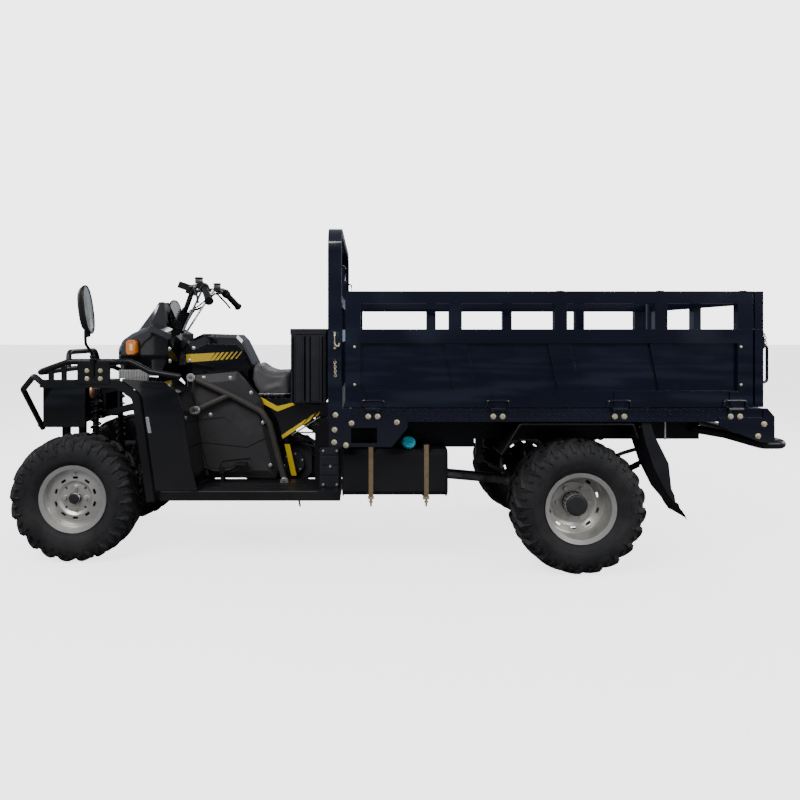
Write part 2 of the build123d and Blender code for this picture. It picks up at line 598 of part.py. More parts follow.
def side_hinge_leaf(x, side):
    """Fixed leaf on the skirt with its two outer knuckles."""
    y = sorted((side * EDGE, side * (EDGE + GUSSET_T)))
    leaf = slab((x - HINGE_HALF, x + HINGE_HALF), y, (SKIRT_BOTTOM + 4, HINGE_Z - HINGE_R - 2))
    for low, high in ((-HINGE_HALF, -TAB_HALF - 0.5), (TAB_HALF + 0.5, HINGE_HALF)):
        leaf += rod((x + low, hinge_axis_y(side), HINGE_Z), (x + high, hinge_axis_y(side), HINGE_Z), HINGE_R)
        leaf += slab((x + low, x + high), sorted((side * EDGE, side * (EDGE + HINGE_OUT))),
                     (HINGE_Z - 12, HINGE_Z - 3))
    return leaf


for side in (-1, 1):
    for x in HINGE_XS:
        deck += side_hinge_leaf(x, side)
TAIL_AXIS_X = BED_REAR_X + HINGE_OUT
TAIL_HINGE_YS = (-420.0, 0.0, 420.0)
for y in TAIL_HINGE_YS:
    deck += slab((BED_REAR_X - 1, BED_REAR_X + GUSSET_T), (y - HINGE_HALF, y + HINGE_HALF),
                 (SKIRT_BOTTOM + 4, HINGE_Z - HINGE_R - 2))
    for low, high in ((-HINGE_HALF, -TAB_HALF - 0.5), (TAB_HALF + 0.5, HINGE_HALF)):
        deck += rod((TAIL_AXIS_X, y + low, HINGE_Z), (TAIL_AXIS_X, y + high, HINGE_Z), HINGE_R)
        deck += slab((BED_REAR_X - 1, TAIL_AXIS_X), (y + low, y + high), (HINGE_Z - 12, HINGE_Z - 3))
save("bed_floor", deck)

# Headboard: hoop of rectangular tube with a sheet and rails below the bed's top rail
HOOP_MID_X = BED_FRONT_X + HOOP_X / 2
hoop_y = EDGE - HOOP_Y / 2
hoop_path = FilletPolyline((HOOP_MID_X, -hoop_y, FLOOR_TOP), (HOOP_MID_X, -hoop_y, HOOP_TOP - HOOP_Y / 2),
                           (HOOP_MID_X, hoop_y, HOOP_TOP - HOOP_Y / 2), (HOOP_MID_X, hoop_y, FLOOR_TOP),
                           radius=HOOP_BEND)
hoop = sweep(Plane(origin=hoop_path @ 0, x_dir=(1, 0, 0), z_dir=hoop_path % 0) * Rectangle(HOOP_X, HOOP_Y),
             path=hoop_path)
inner_y = EDGE - HOOP_Y + 3
for low, high in ((FLOOR_TOP, FLOOR_TOP + 60), (MID_RAIL_TOP - MID_RAIL_H, MID_RAIL_TOP),
                  (GATE_TOP - TOP_RAIL_H, GATE_TOP)):
    hoop += slab((HOOP_MID_X - 20, HOOP_MID_X + 20), (-inner_y, inner_y), (low, high))
hoop += slab((HOOP_MID_X - 3, HOOP_MID_X + 2), (-inner_y, inner_y), (FLOOR_TOP + 1, GATE_TOP - 1))
save("headboard", hoop)

# Drop sides and tailgate share one gate: a panel with rails, recessed sheet and slanted ribs, and
# welded on it a top rail on short posts
GATE_BOTTOM = HINGE_Z + 8
SIDE_X = (BED_FRONT_X + HOOP_X + 18, BED_REAR_X - GATE_THICK - GATE_CLEAR - 7)
# rib: foot and head stations along the side
SIDE_RIBS = ((1858.0, 1813.0), (2346.0, 2296.0), (2820.0, 2775.0))
RIB_W = 108.0
RIB_OUT = 12.0
SIDE_POSTS = (1865.0, 2358.0, 2828.0)
TAIL_GATE_HALF = EDGE - 7


def gate_panel(length, ribs):
    """Lower part of a gate along +x from 0, its outside at y = 0 and its inside at y = GATE_THICK."""
    thick = (0, GATE_THICK)
    body = slab((0, length), thick, (GATE_BOTTOM, LOWER_RAIL_TOP))
    body += slab((0, length), thick, (MID_RAIL_TOP - MID_RAIL_H, MID_RAIL_TOP))
    for low, high in ((0, END_POST_W), (length - END_POST_W, length)):
        body += slab((low, high), thick, (GATE_BOTTOM, MID_RAIL_TOP))
    body += slab((1, length - 1), (PANEL_RECESS, PANEL_RECESS + SHEET), (GATE_BOTTOM + 1, MID_RAIL_TOP - 1))
    for foot, head in ribs:
        outline = [(foot, LOWER_RAIL_TOP - 1), (foot + RIB_W, LOWER_RAIL_TOP - 1),
                   (head + RIB_W, MID_RAIL_TOP - MID_RAIL_H + 1), (head, MID_RAIL_TOP - MID_RAIL_H + 1)]
        body += side_plate(outline, (PANEL_RECESS - RIB_OUT, PANEL_RECESS + 1))
    return body


def gate_rail(length, posts):
    """Top rail on its end posts and short middle posts, standing on the panel's upper rail."""
    thick = (0, GATE_THICK)
    body = slab((0, length), thick, (GATE_TOP - TOP_RAIL_H, GATE_TOP))
    widths = [(0, END_POST_W), (length - END_POST_W, length)]
    widths += [(x - POST_W / 2, x + POST_W / 2) for x in posts]
    for low, high in widths:
        body += slab((low, high), thick, (MID_RAIL_TOP, GATE_TOP - 1))
    return body


def hinge_tab(x):
    """Moving leaf with the middle knuckle, on the gate's outside."""
    tab = slab((x - TAB_HALF - 8, x + TAB_HALF + 8), (-GUSSET_T, 1), (GATE_BOTTOM + 4, LOWER_RAIL_TOP - 4))
    tab += slab((x - TAB_HALF, x + TAB_HALF), (-HINGE_OUT, -0.5), (HINGE_Z, GATE_BOTTOM + 10))
    tab += rod((x - TAB_HALF, -HINGE_OUT, HINGE_Z), (x + TAB_HALF, -HINGE_OUT, HINGE_Z), HINGE_R)
    return tab


SIDE_LEN = SIDE_X[1] - SIDE_X[0]
side_gate = gate_panel(SIDE_LEN, [(foot - SIDE_X[0], head - SIDE_X[0]) for foot, head in SIDE_RIBS])
for x in HINGE_XS:
    side_gate += hinge_tab(x - SIDE_X[0])
side_rail = gate_rail(SIDE_LEN, [x - SIDE_X[0] for x in SIDE_POSTS])
left_place = Pos(SIDE_X[0], -EDGE, 0)
save("drop_side_left", left_place * side_gate)
save("drop_side_right", other_side(left_place * side_gate))
save("drop_side_left_rail", left_place * side_rail)
save("drop_side_right_rail", other_side(left_place * side_rail))

tail_gate = gate_panel(2 * TAIL_GATE_HALF, ((260.0, 230.0), (868.0, 898.0)))
for y in TAIL_HINGE_YS:
    tail_gate += hinge_tab(y + TAIL_GATE_HALF)
tail_place = Pos(BED_REAR_X, -TAIL_GATE_HALF, 0) * Rot(0, 0, 90)
save("tailgate", tail_place * tail_gate)
save("tailgate_rail", tail_place * gate_rail(2 * TAIL_GATE_HALF, (TAIL_GATE_HALF,)))

# Fuel tank under the left side, with straps over it and its filler cap
tank = slab(TANK_X, (-TANK_Y[1], -TANK_Y[0]), TANK_Z)
tank = chamfer(tank.edges().filter_by(Axis.X), 22)
NECK = Plane(origin=(TANK_X[0] + 320, -TANK_Y[1] + 60, TANK_Z[1]), z_dir=(0, -0.7, 0.7))
tank += extrude(NECK.offset(-20) * Circle(24), 54)
save("fuel_tank", tank)
save("fuel_cap", extrude(NECK.offset(34) * Circle(28.5), 16))
STRAP_W = 22.0
STRAP_T = 2.5
straps = []
for x in STRAP_XS:
    band = slab((x - STRAP_W / 2, x + STRAP_W / 2), (-TANK_Y[1] - STRAP_T, -TANK_Y[0] + STRAP_T),
                (TANK_Z[0] - STRAP_T, CRADLE_Z[1]))
    hollow = slab((x - STRAP_W, x + STRAP_W), (-TANK_Y[1], -TANK_Y[0]), TANK_Z)
    hollow = chamfer(hollow.edges().filter_by(Axis.X), 22)
    band -= hollow
    band -= slab((x - STRAP_W, x + STRAP_W), (-TANK_Y[1], RAIL_Y), (CRADLE_Z[0] - SEAT_GAP, RAIL_TOP))
    straps.append(band)
save("tank_straps", *straps)

# Rear mudguards: bent sheet over each rear tyre, hung from the skirt
GUARD_T = 4.0
guard_line = ((WHEELBASE - 365, 564), (WHEELBASE - 277, 706), (WHEELBASE + 253, 706), (WHEELBASE + 275, 640))


def bent_sheet(line, thick, y):
    """Sheet that follows a line of (x, z) points, `thick` below it."""
    under = [(x, z - thick) for x, z in reversed(line)]
    return side_plate(list(line) + under, y)


mudguards = []
for side in (-1, 1):
    y = sorted((side * 400, side * (EDGE - 6)))
    sheet = bent_sheet(guard_line, GUARD_T, y)
    for x in CHANNEL_XS[2:4]:
        sheet += slab((x - 12, x + 12), (y[0] + 20, y[1] - 20), (704, CHANNEL_Z - SEAT_GAP))
    mudguards.append(sheet)
save("rear_mudguards", *mudguards)

# Mud flaps: rubber sheets bent back behind the rear tyres
FLAP_TOP = CHANNEL_Z - SEAT_GAP
# stations behind the rear axle
flap_line = ((291, FLAP_TOP), (313, 620), (353, 500), (413, 380), (518, 256), (458, 400), (423, 520),
             (353, 660), (335, FLAP_TOP))
flaps = [Pos(WHEELBASE, 0, 0) * side_plate(flap_line, sorted((side * 430, side * 610))) for side in (-1, 1)]
save("mud_flaps", *flaps)

# Rear bumper: arms from the rails out to a bar with rounded corners
ARM_ROOT_Y = RAIL_Y + RAIL_W / 2 + BUMPER_TUBE / 2 + SEAT_GAP
bumper_line = [(3085, -ARM_ROOT_Y, 655), (3200, -480, 640), (3320, -BUMPER_Y, BUMPER_Z),
               (BUMPER_X, -BUMPER_Y, BUMPER_Z), (BUMPER_X, BUMPER_Y, BUMPER_Z), (3320, BUMPER_Y, BUMPER_Z),
               (3200, 480, 640), (3085, ARM_ROOT_Y, 655)]
bumper = pipe(bumper_line, BUMPER_TUBE, 45)
for side in (-1, 1):
    bumper += rod((3092, side * (RAIL_Y + RAIL_W / 2 + SEAT_GAP), 652), (3092, side * ARM_ROOT_Y, 652), 15)
save("rear_bumper", bumper)

# Tail lamps on the skirt's rear face
lamps = [slab((BED_REAR_X + SEAT_GAP, BED_REAR_X + 28), sorted((side * 480, side * 590)), (730, 768))
         for side in (-1, 1)]
save("tail_lamps", *lamps)

# Footboards: folded trays, open below, over the frame's outriggers that pass through their inner walls


def footboard(side):
    y = sorted((side * BOARD_Y[0], side * BOARD_Y[1]))
    tray = slab(BOARD_X, y, (BOARD_BOTTOM, BOARD_TOP))
    tray -= slab((BOARD_X[0] + BOARD_T, BOARD_X[1] - BOARD_T), (y[0] + BOARD_T, y[1] - BOARD_T),
                 (BOARD_BOTTOM - 1, BOARD_TOP - BOARD_T))
    notch = FRAME_TUBE / 2 + 1
    for x in ARM_XS:
        tray -= slab((x - notch, x + notch), sorted((side * (BOARD_Y[0] - 1), side * (BOARD_Y[0] + BOARD_T + 1))),
                     (BOARD_BOTTOM - 1, BOARD_TOP - BOARD_T))
    return tray


save("footboards", footboard(-1), footboard(1))

FRAME_FACE_X = NOSE_FRAME_X - FRAME_TUBE / 2 - SEAT_GAP

# Front guard: rack tube round the nose, flat fender bars, bull bar and its hoop
RACK_FRONT_X = -135.0
RACK_Z = 996.0
rack_side = [(551, -GUARD_Y, 923), (407, -GUARD_Y, 948), (311, -GUARD_Y, RACK_Z), (13, -GUARD_Y, RACK_Z),
             (RACK_FRONT_X, -GUARD_Y, 943)]
rack_line = rack_side + [(x, -y, z) for x, y, z in reversed(rack_side)]
guard = pipe(rack_line, GUARD_TUBE, 40)
BAR_Z = 890.0
BAR_H = 38.0
BAR_T = 18.0
fender_line = ((-122, BAR_Z), (250, BAR_Z), (338, BAR_Z - 62), (410, BOARD_BOTTOM))


def flat_bar(line, side):
    """Flat bar on edge that follows (x, z) points in the side plane."""
    path = FilletPolyline(*[(x, side * GUARD_Y, z) for x, z in line], radius=45)
    plane = Plane(origin=path @ 0, x_dir=(0, 1, 0), z_dir=path % 0)
    return sweep(plane * Rectangle(BAR_T, BAR_H), path=path)


for side in (-1, 1):
    y = side * GUARD_Y
    guard += flat_bar(fender_line, side)
    for x, top in ((-70, 955), (-8, 975)):
        guard += slab((x - 11, x + 11), (y - 7, y + 7), (BAR_Z, top))
    guard += slab((61, 215), sorted((y, side * (STEM_Y - STEM_DIA / 2 - SEAT_GAP))), (BAR_Z, RACK_Z))
    bull = pipe([(-110, y, BAR_Z), (-175, side * 490, 925), (-275, side * 400, 852), (BULL_FOOT_X, side * 125, 619)],
                GUARD_TUBE, 38)
    guard += bull
guard += pipe([(RACK_FRONT_X, -205, 940), (RACK_FRONT_X - 12, -172, 1032), (RACK_FRONT_X - 12, 172, 1032),
               (RACK_FRONT_X, 205, 940)], GUARD_TUBE, 36)
guard += rod((-306, -160, 640), (-306, 160, 640), GUARD_TUBE / 2)
for side in (-1, 1):
    guard += slab((-306, FRAME_FACE_X), sorted((side * 98, side * 110)), (626, GRILLE_Z[0] - SEAT_GAP))
save("front_guard", guard)

# Front fenders: moulded shells between the fender bar and the footboard, open to the middle
FENDER_WALL = 4.0
FENDER_OUT = GUARD_Y - BAR_T / 2 - SEAT_GAP
FENDER_IN = 292.0
fender_outline = ((262, 868), (268, 912), (470, 898), (536, 845), (565, 760), (603, 500), (633, 372),
                  (408, 372), (346, 838), (326, 862))
# raised band along the fender's outer edge
fender_band = ((350, 904), (470, 896), (534, 844), (563, 760), (601, 500), (631, 374), (600, 374), (572, 500),
               (535, 756), (509, 826), (456, 868), (350, 876))
BAND_OUT = 5.0


def fender(side):
    outer_face = make_face(Polyline([(x, 0, z) for x, z in fender_outline], close=True))
    inner_face = offset(outer_face, -FENDER_WALL, kind=Kind.INTERSECTION)
    y = side * FENDER_IN
    depth = side * (FENDER_OUT - FENDER_IN)
    shell = extrude(Pos(0, y, 0) * outer_face, abs(depth), dir=(0, side, 0))
    hollow = extrude(Pos(0, y - side, 0) * inner_face, abs(depth) - FENDER_WALL + 1, dir=(0, side, 0))
    band = side_plate(fender_band, sorted((side * (FENDER_OUT - 1), side * (FENDER_OUT + BAND_OUT))))
    return shell - hollow + band


save("front_fenders", fender(-1), fender(1))

# Radiator cover: open-backed shell with upright fins
GRILLE_WALL = 5.0
FIN_PITCH = 26.0
grille = slab(GRILLE_X, (-GRILLE_Y, GRILLE_Y), GRILLE_Z)
grille -= slab((GRILLE_X[0] + GRILLE_WALL, GRILLE_X[1] + 1), (-GRILLE_Y + GRILLE_WALL, GRILLE_Y - GRILLE_WALL),
               (GRILLE_Z[0] - 1, GRILLE_Z[1] - GRILLE_WALL))
fins = int((GRILLE_Y - 20) / FIN_PITCH)
for i in range(-fins, fins + 1):
    grille -= slab((GRILLE_X[0] - 1, GRILLE_X[0] + 20), (i * FIN_PITCH - 7, i * FIN_PITCH + 7),
                   (GRILLE_Z[0] + 16, GRILLE_Z[1] - 16))
grille += slab((GRILLE_X[0] + 1, FRAME_FACE_X), (-60, 60), (GRILLE_Z[0], 654))
save("grille", grille)


def crowned(outline, stations, centre):
    """Body whose side outline (x, z) narrows towards both sides; stations are (half width, scale)."""
    sections = []
    for y, scale in [(-half, scale) for half, scale in stations] + list(reversed(stations)):
        points = [(centre[0] + (x - centre[0]) * scale, y, centre[1] + (z - centre[1]) * scale)
                  for x, z in outline]
        sections.append(make_face(Polyline(points, close=True)))
    return loft(sections, ruled=True)


# Nose cowl over the radiator, with a passage for the steering column
cowl_outline = ((129, 917), (114, 958), (109, 1012), (113, 1062), (130, 1100), (172, 1130), (300, 1192),
                (400, 1154), (446, 1128), (438, 1050), (428, 958), (400, COWL_BASE_Z), (160, COWL_BASE_Z))
COWL_HALF = 235.0
COWL_STATIONS = ((COWL_HALF, 0.74), (196, 0.88), (120, 1.0))
cowl = crowned(cowl_outline, COWL_STATIONS, (280, 1020))
COLUMN_CLEAR = 12.0
cowl -= on_column(Cylinder(COLUMN_R + COLUMN_CLEAR, 800), 400)
save("nose_cowl", cowl)

# Windscreen: thin faceted screen rising from the cowl
SCREEN_T = 4.0


def screen_section(z, line):
    """Section at one height; line is (x, y) from the middle to the right-hand ear."""
    steps = (1.2, 1.1, 0.9, 0)
    inner = [(x + SCREEN_T * step, max(0, y - SCREEN_T)) for (x, y), step in zip(line, steps)]
    outer = [(x, -y) for x, y in reversed(line)] + list(line[1:])
    back = list(reversed(inner)) + [(x, -y) for x, y in inner[1:]]
    return make_face(Polyline([(x, y, z) for x, y in outer + back], close=True))


screen = loft([screen_section(1112, ((140, 0), (172, 66), (246, 116), (380, 150))),
               screen_section(1306, ((284, 0), (289, 22), (301, 38), (324, 48)))], ruled=True)
save("windscreen", screen - cowl)

# Headlamp in the cowl's nose, and amber indicators on its sides
lamp = slab((92, 130), (-85, 85), (985, 1058))
lamp = chamfer(lamp.edges().filter_by(Axis.X), 14)
save("headlamp", lamp - cowl)
blinkers = []
for side in (-1, 1):
    body = slab((192, 246), sorted((side * (COWL_HALF + SEAT_GAP), side * 266)), (1020, 1098))
    blinkers.append(chamfer(body.edges().filter_by(Axis.Y), 12))
save("indicators", *blinkers)

# Tank cover, with the seat base behind it
SEAT_BASE_Z = 806.0
tank_outline = ((461, 980), (450, 1052), (468, 1090), (555, 1130), (742, 1124), (772, 1094), (832, 972),
                (817, 960), (817, 892), (836, 842), (860, SEAT_BASE_Z), (1044, SEAT_BASE_Z),
                (1044, TANK_BASE_Z), (470, TANK_BASE_Z))
save("tank_cover", crowned(tank_outline, ((172, 0.84), (140, 0.95), (100, 1.0)), (790, TANK_BASE_Z)))

# Seat: saddle that dips in the middle
SEAT_Z0 = SEAT_BASE_Z + SEAT_GAP
seat_outline = ((870, SEAT_Z0), (844, 846), (824, 894), (824, 956), (846, 970), (868, 964), (905, 936),
                (950, 921), (1036, 925), (1040, SEAT_Z0))
save("seat", crowned(seat_outline, ((150, 0.86), (128, 0.95), (96, 1.0)), (900, SEAT_Z0)))

# Side panels: faceted covers over the engine bay
PANEL_Y = (214.0, 288.0)
panel_outline = ((541, 912), (769, 932), (896, 787), (990, 430), (972, 374), (608, 384), (541, 501), (516, 683))


def side_panel(side):
    outer = make_face(Polyline([(x, side * (PANEL_Y[1] - 26), z) for x, z in panel_outline], close=True))
    body = extrude(outer, PANEL_Y[1] - 26 - PANEL_Y[0], dir=(0, -side, 0))
    mid = Vector(745, 0, 660)
    raised = make_face(Polyline([(mid.X + (x - mid.X) * 0.84, side * PANEL_Y[1], mid.Z + (z - mid.Z) * 0.84)
                                 for x, z in panel_outline], close=True))
    body += loft([outer, raised], ruled=True)
    for outline, depth in PANEL_CUTS:
        body -= side_plate(outline, sorted((side * (PANEL_Y[1] - depth), side * (PANEL_Y[1] + 1))))
    return body


# cuts in a panel's outside: outline, depth
PANEL_CUTS = ((((572, 682), (706, 698), (748, 669), (677, 611), (588, 580)), 4.0),
              (((584, 563), (826, 537), (948, 594), (946, 599), (826, 542), (584, 568)), 5.0),
              (((700, 470), (846, 486), (868, 440), (846, 404), (668, 404)), 7.0))
save("side_panels", side_panel(-1), side_panel(1))

# Fairings under the seat, between the side panels and the tool box
FAIRING_Y = (205.0 + SEAT_GAP, 221.0)
fairing_outline = ((906, 788), (1048, 788), (1054, 768), (1204, 754), (1204, 707), (1003, 574), (967, 562))
fairings = [side_plate(fairing_outline, sorted((side * FAIRING_Y[0], side * FAIRING_Y[1]))) for side in (-1, 1)]
save("tail_fairings", *fairings)

# Tube guards outside the side panels
SIDE_TUBE = 32.0
SIDE_GUARD_Y = PANEL_Y[1] + SIDE_TUBE / 2 + 4


def side_guard(side):
    y = side * SIDE_GUARD_Y
    main = pipe([(547, y, 905), (774, y, 800), (908, y, 727), (950, y, 660), (1026, y, BOARD_TOP + 4)],
                SIDE_TUBE, 60)
    branch = rod((573, y, 738), (735, y, 812), SIDE_TUBE / 2)
    body = main + branch
    for x, z in ((560, 899), (585, 743)):
        body += rod((x, side * (PANEL_Y[1] + SEAT_GAP), z), (x, y + side * 8, z), 11)
    return body


save("side_guards", side_guard(-1), side_guard(1))

# Tool box behind the seat, hollow, with its hinged lid
BOX_X = (1056.0, 1236.0)
BOX_Y = 300.0
BOX_TOP = 1128.0
BOX_WALL = 6.0
LID_H = 28.0
LID_LIP = 3.0
LID_PIN_R = 6.0
LID_HINGE_YS = (-190.0, 190.0)
box = slab(BOX_X, (-BOX_Y, BOX_Y), (BOX_BASE_Z, BOX_TOP))
box -= slab((BOX_X[0] + BOX_WALL, BOX_X[1] - BOX_WALL), (-BOX_Y + BOX_WALL, BOX_Y - BOX_WALL),
            (BOX_BASE_Z + BOX_WALL, BOX_TOP + 1))
# ribs on the box's ends: first and last station
BOX_RIBS = ((1062.0, 1078.0), (1100.0, 1108.0), (1124.0, 1132.0), (1150.0, 1196.0), (1214.0, 1230.0))
for side in (-1, 1):
    for low, high in BOX_RIBS:
        box += slab((low, high), sorted((side * (BOX_Y - 1), side * (BOX_Y + LID_LIP))), (BOX_BASE_Z + 8, BOX_TOP - 12))
lid = slab((BOX_X[0] - LID_LIP, BOX_X[1] + LID_LIP), (-BOX_Y - LID_LIP, BOX_Y + LID_LIP),
           (BOX_TOP + SEAT_GAP, BOX_TOP + LID_H))
LID_AXIS_X = BOX_X[1] + 11
LID_AXIS_Z = BOX_TOP + LID_H - LID_PIN_R
for y in LID_HINGE_YS:
    for low, high in ((y - 45, y - 15.5), (y + 15.5, y + 45)):
        box += rod((LID_AXIS_X, low, LID_AXIS_Z), (LID_AXIS_X, high, LID_AXIS_Z), LID_PIN_R)
        box += slab((BOX_X[1] + LID_LIP + 2, LID_AXIS_X + 2), (low, high), (BOX_TOP - 40, LID_AXIS_Z))
        box += slab((BOX_X[1] - 1, LID_AXIS_X + 2), (low, high), (BOX_TOP - 40, BOX_TOP - 20))
    lid += rod((LID_AXIS_X, y - 15, LID_AXIS_Z), (LID_AXIS_X, y + 15, LID_AXIS_Z), LID_PIN_R)
    lid += slab((BOX_X[1] + LID_LIP - 1, LID_AXIS_X), (y - 15, y + 15), (LID_AXIS_Z, BOX_TOP + LID_H))
save("tool_box", box)
save("tool_box_lid", lid)

# Mirrors on bent stems from the guard's side plates
MIRROR_Z = 1240.0
MIRROR_X = 166.0
MIRROR_YAW = 17.0


def mirror_unit(side):
    stem = pipe([(137, side * STEM_Y, 925), (137, side * STEM_Y, 1035), (142, side * 645, 1082),
                 (MIRROR_X, side * MIRROR_Y, 1112), (MIRROR_X, side * MIRROR_Y, 1160)], STEM_DIA, 14)
    place = Pos(MIRROR_X, side * MIRROR_Y, MIRROR_Z) * Rot(0, 0, -side * MIRROR_YAW)
    back = Plane(origin=(-24, 0, 0), x_dir=(0, 1, 0), z_dir=(1, 0, 0))
    front = Plane(origin=(8, 0, 0), x_dir=(0, 1, 0), z_dir=(1, 0, 0))
    head = loft([back * Ellipse(42, 88), front * Ellipse(64, 114)])
    head += extrude(front * Ellipse(64, 114), 8)
    return stem + place * head


save("mirrors", mirror_unit(-1), mirror_unit(1))
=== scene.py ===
import json

import bmesh
import bpy
import numpy as np
from mathutils.bvhtree import BVHTree
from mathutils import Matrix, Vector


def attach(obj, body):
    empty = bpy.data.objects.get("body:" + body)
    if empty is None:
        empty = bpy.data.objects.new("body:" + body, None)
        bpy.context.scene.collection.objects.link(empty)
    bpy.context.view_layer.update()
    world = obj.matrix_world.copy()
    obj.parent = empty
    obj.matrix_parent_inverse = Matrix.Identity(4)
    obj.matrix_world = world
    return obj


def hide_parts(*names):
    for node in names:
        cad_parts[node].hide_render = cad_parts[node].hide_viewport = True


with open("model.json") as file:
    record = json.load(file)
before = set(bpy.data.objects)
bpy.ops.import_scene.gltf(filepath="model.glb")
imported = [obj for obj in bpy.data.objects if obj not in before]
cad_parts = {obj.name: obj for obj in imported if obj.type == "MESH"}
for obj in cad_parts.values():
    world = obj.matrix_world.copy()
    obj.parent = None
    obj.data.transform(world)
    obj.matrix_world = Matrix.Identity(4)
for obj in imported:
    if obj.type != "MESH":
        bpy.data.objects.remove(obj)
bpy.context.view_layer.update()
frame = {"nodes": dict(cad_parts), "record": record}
nodes = frame["nodes"]

# Four-wheel cargo quad. Shapes are worked out in millimetres, at the part's own stations: x runs from
# the front axle to the tail, y from the middle to the rider's right, z up from the ground.
AXLE_TO_MIDDLE = 1563.5

# Tyres
# Chunky all-terrain tyres of black rubber, moulded in one piece: a round carcass, long V-shaped lugs
# across the crown and short ones down the shoulders. They stand for the plain CAD tyres.


def catmull(points, count):
    """Smooth line through points: each span is the cubic whose end slopes are half the chord between
    the neighbours, and the outermost neighbours are the end points mirrored outwards."""
    p = np.asarray(points, float)
    p = np.vstack([2 * p[0] - p[1], p, 2 * p[-1] - p[-2]])
    s = np.linspace(0, len(p) - 3, count)
    i = np.minimum(s.astype(int), len(p) - 4)
    t = (s - i)[:, None]
    a, b, c, d = p[i], p[i + 1], p[i + 2], p[i + 3]
    return 0.5 * (2 * b + (c - a) * t + (2 * a - 5 * b + 4 * c - d) * t**2 + (3 * b - a - 3 * c + d) * t**3)


def bent_line(points, radius, count=7):
    """Straight runs joined by quarter-like arcs: each inner corner becomes the parabola from a point
    `radius` before the corner to one `radius` after it, with the corner as its control point."""
    p = np.asarray(points, float)
    a, c, b = p[:-2], p[1:-1], p[2:]
    back = (a - c) / np.linalg.norm(a - c, axis=1, keepdims=True)
    on = (b - c) / np.linalg.norm(b - c, axis=1, keepdims=True)
    t = np.linspace(0, 1, count)[None, :, None]
    start, end = (c + back * radius)[:, None], (c + on * radius)[:, None]
    arcs = (1 - t) ** 2 * start + 2 * t * (1 - t) * c[:, None] + t**2 * end
    return np.vstack([p[:1], arcs.reshape(-1, 3), p[-1:]])


class Form:
    """Points and faces of a surface before it goes to Blender; forms add up to one mesh."""

    def __init__(self, points, faces):
        self.points = np.asarray(points, float).reshape(-1, 3)
        self.faces = faces

    def __add__(self, other):
        shift = len(self.points)
        return Form(np.vstack([self.points, other.points]),
                    self.faces + [[shift + i for i in f] for f in other.faces])

    def move(self, x=0.0, y=0.0, z=0.0):
        return Form(self.points + np.array([x, y, z]), self.faces)

    def turn(self, axis, degrees):
        """The rotation matrix about x, y or z, times every point."""
        c, s = np.cos(np.radians(degrees)), np.sin(np.radians(degrees))
        i, j = {"x": (1, 2), "y": (2, 0), "z": (0, 1)}[axis]
        m = np.eye(3)
        m[i, i], m[i, j], m[j, i], m[j, j] = c, -s, s, c
        return Form(self.points @ m.T, self.faces)

    def scale(self, x=1.0, y=1.0, z=1.0):
        return Form(self.points * np.array([x, y, z]), self.faces)

    def right(self):
        """The same form on the right-hand side."""
        return self.flipped("y")

    def both(self):
        return self + self.right()

    def flipped(self, axis):
        """The mirror image that changes the sign of one axis, with its faces turned to suit."""
        sign = np.where(np.arange(3) == "xyz".index(axis), -1, 1)
        return Form(self.points * sign, [f[::-1] for f in self.faces])

    def at(self, places):
        """A copy at every place: the outer sum of the form's points and the places."""
        places = np.asarray(places, float).reshape(-1, 3)
        n = len(self.points)
        points = (places[:, None] + self.points[None]).reshape(-1, 3)
        return Form(points, [[k * n + i for i in f] for k in range(len(places)) for f in self.faces])

    def ring(self, count, start=0.0):
        """Copies turned round z by equal steps."""
        a = np.radians(start + np.arange(count) * 360 / count)
        x, y, z = self.points.T
        n = len(self.points)
        points = np.stack([np.cos(a)[:, None] * x - np.sin(a)[:, None] * y,
                           np.sin(a)[:, None] * x + np.cos(a)[:, None] * y,
                           np.broadcast_to(z, (count, n))], axis=-1).reshape(-1, 3)
        return Form(points, [[k * n + i for i in f] for k in range(count) for f in self.faces])

    def piece(self, name, finish, body="vehicle", slot=None, smooth=35.0, bevel=0.0, replaces=(), weld=True):
        """Puts the form into a mesh, in metres and in the part's frame, and hangs it on its body."""
        mesh = bpy.data.meshes.new(name)
        place = (self.points - np.array([AXLE_TO_MIDDLE, 0, 0])) / 1000
        mesh.from_pydata(place.tolist(), [], [list(map(int, f)) for f in self.faces])
        work = bmesh.new()
        work.from_mesh(mesh)
        if weld:
            bmesh.ops.remove_doubles(work, verts=work.verts, dist=2e-5)
        bmesh.ops.dissolve_degenerate(work, edges=work.edges, dist=1e-7)
        bmesh.ops.recalc_face_normals(work, faces=work.faces)
        work.to_mesh(mesh)
        work.free()
        mesh.materials.append(finish)
        thing = bpy.data.objects.new(name, mesh)
        bpy.context.scene.collection.objects.link(thing)
        if bevel:
            soft = thing.modifiers.new("edges", "BEVEL")
            soft.width, soft.segments, soft.limit_method, soft.angle_limit = bevel / 1000, 2, "ANGLE", 0.6
            soft.harden_normals = False
        mesh.polygons.foreach_set("use_smooth", [True] * len(mesh.polygons))
        if smooth:
            mesh.set_sharp_from_angle(angle=np.radians(smooth))
        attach(thing, body)
        if replaces:
            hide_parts(*replaces)
        return thing


def joined(forms):
    """All the forms as one."""
    made = Form(np.zeros((0, 3)), [])
    for form in forms:
        made += form
    return made


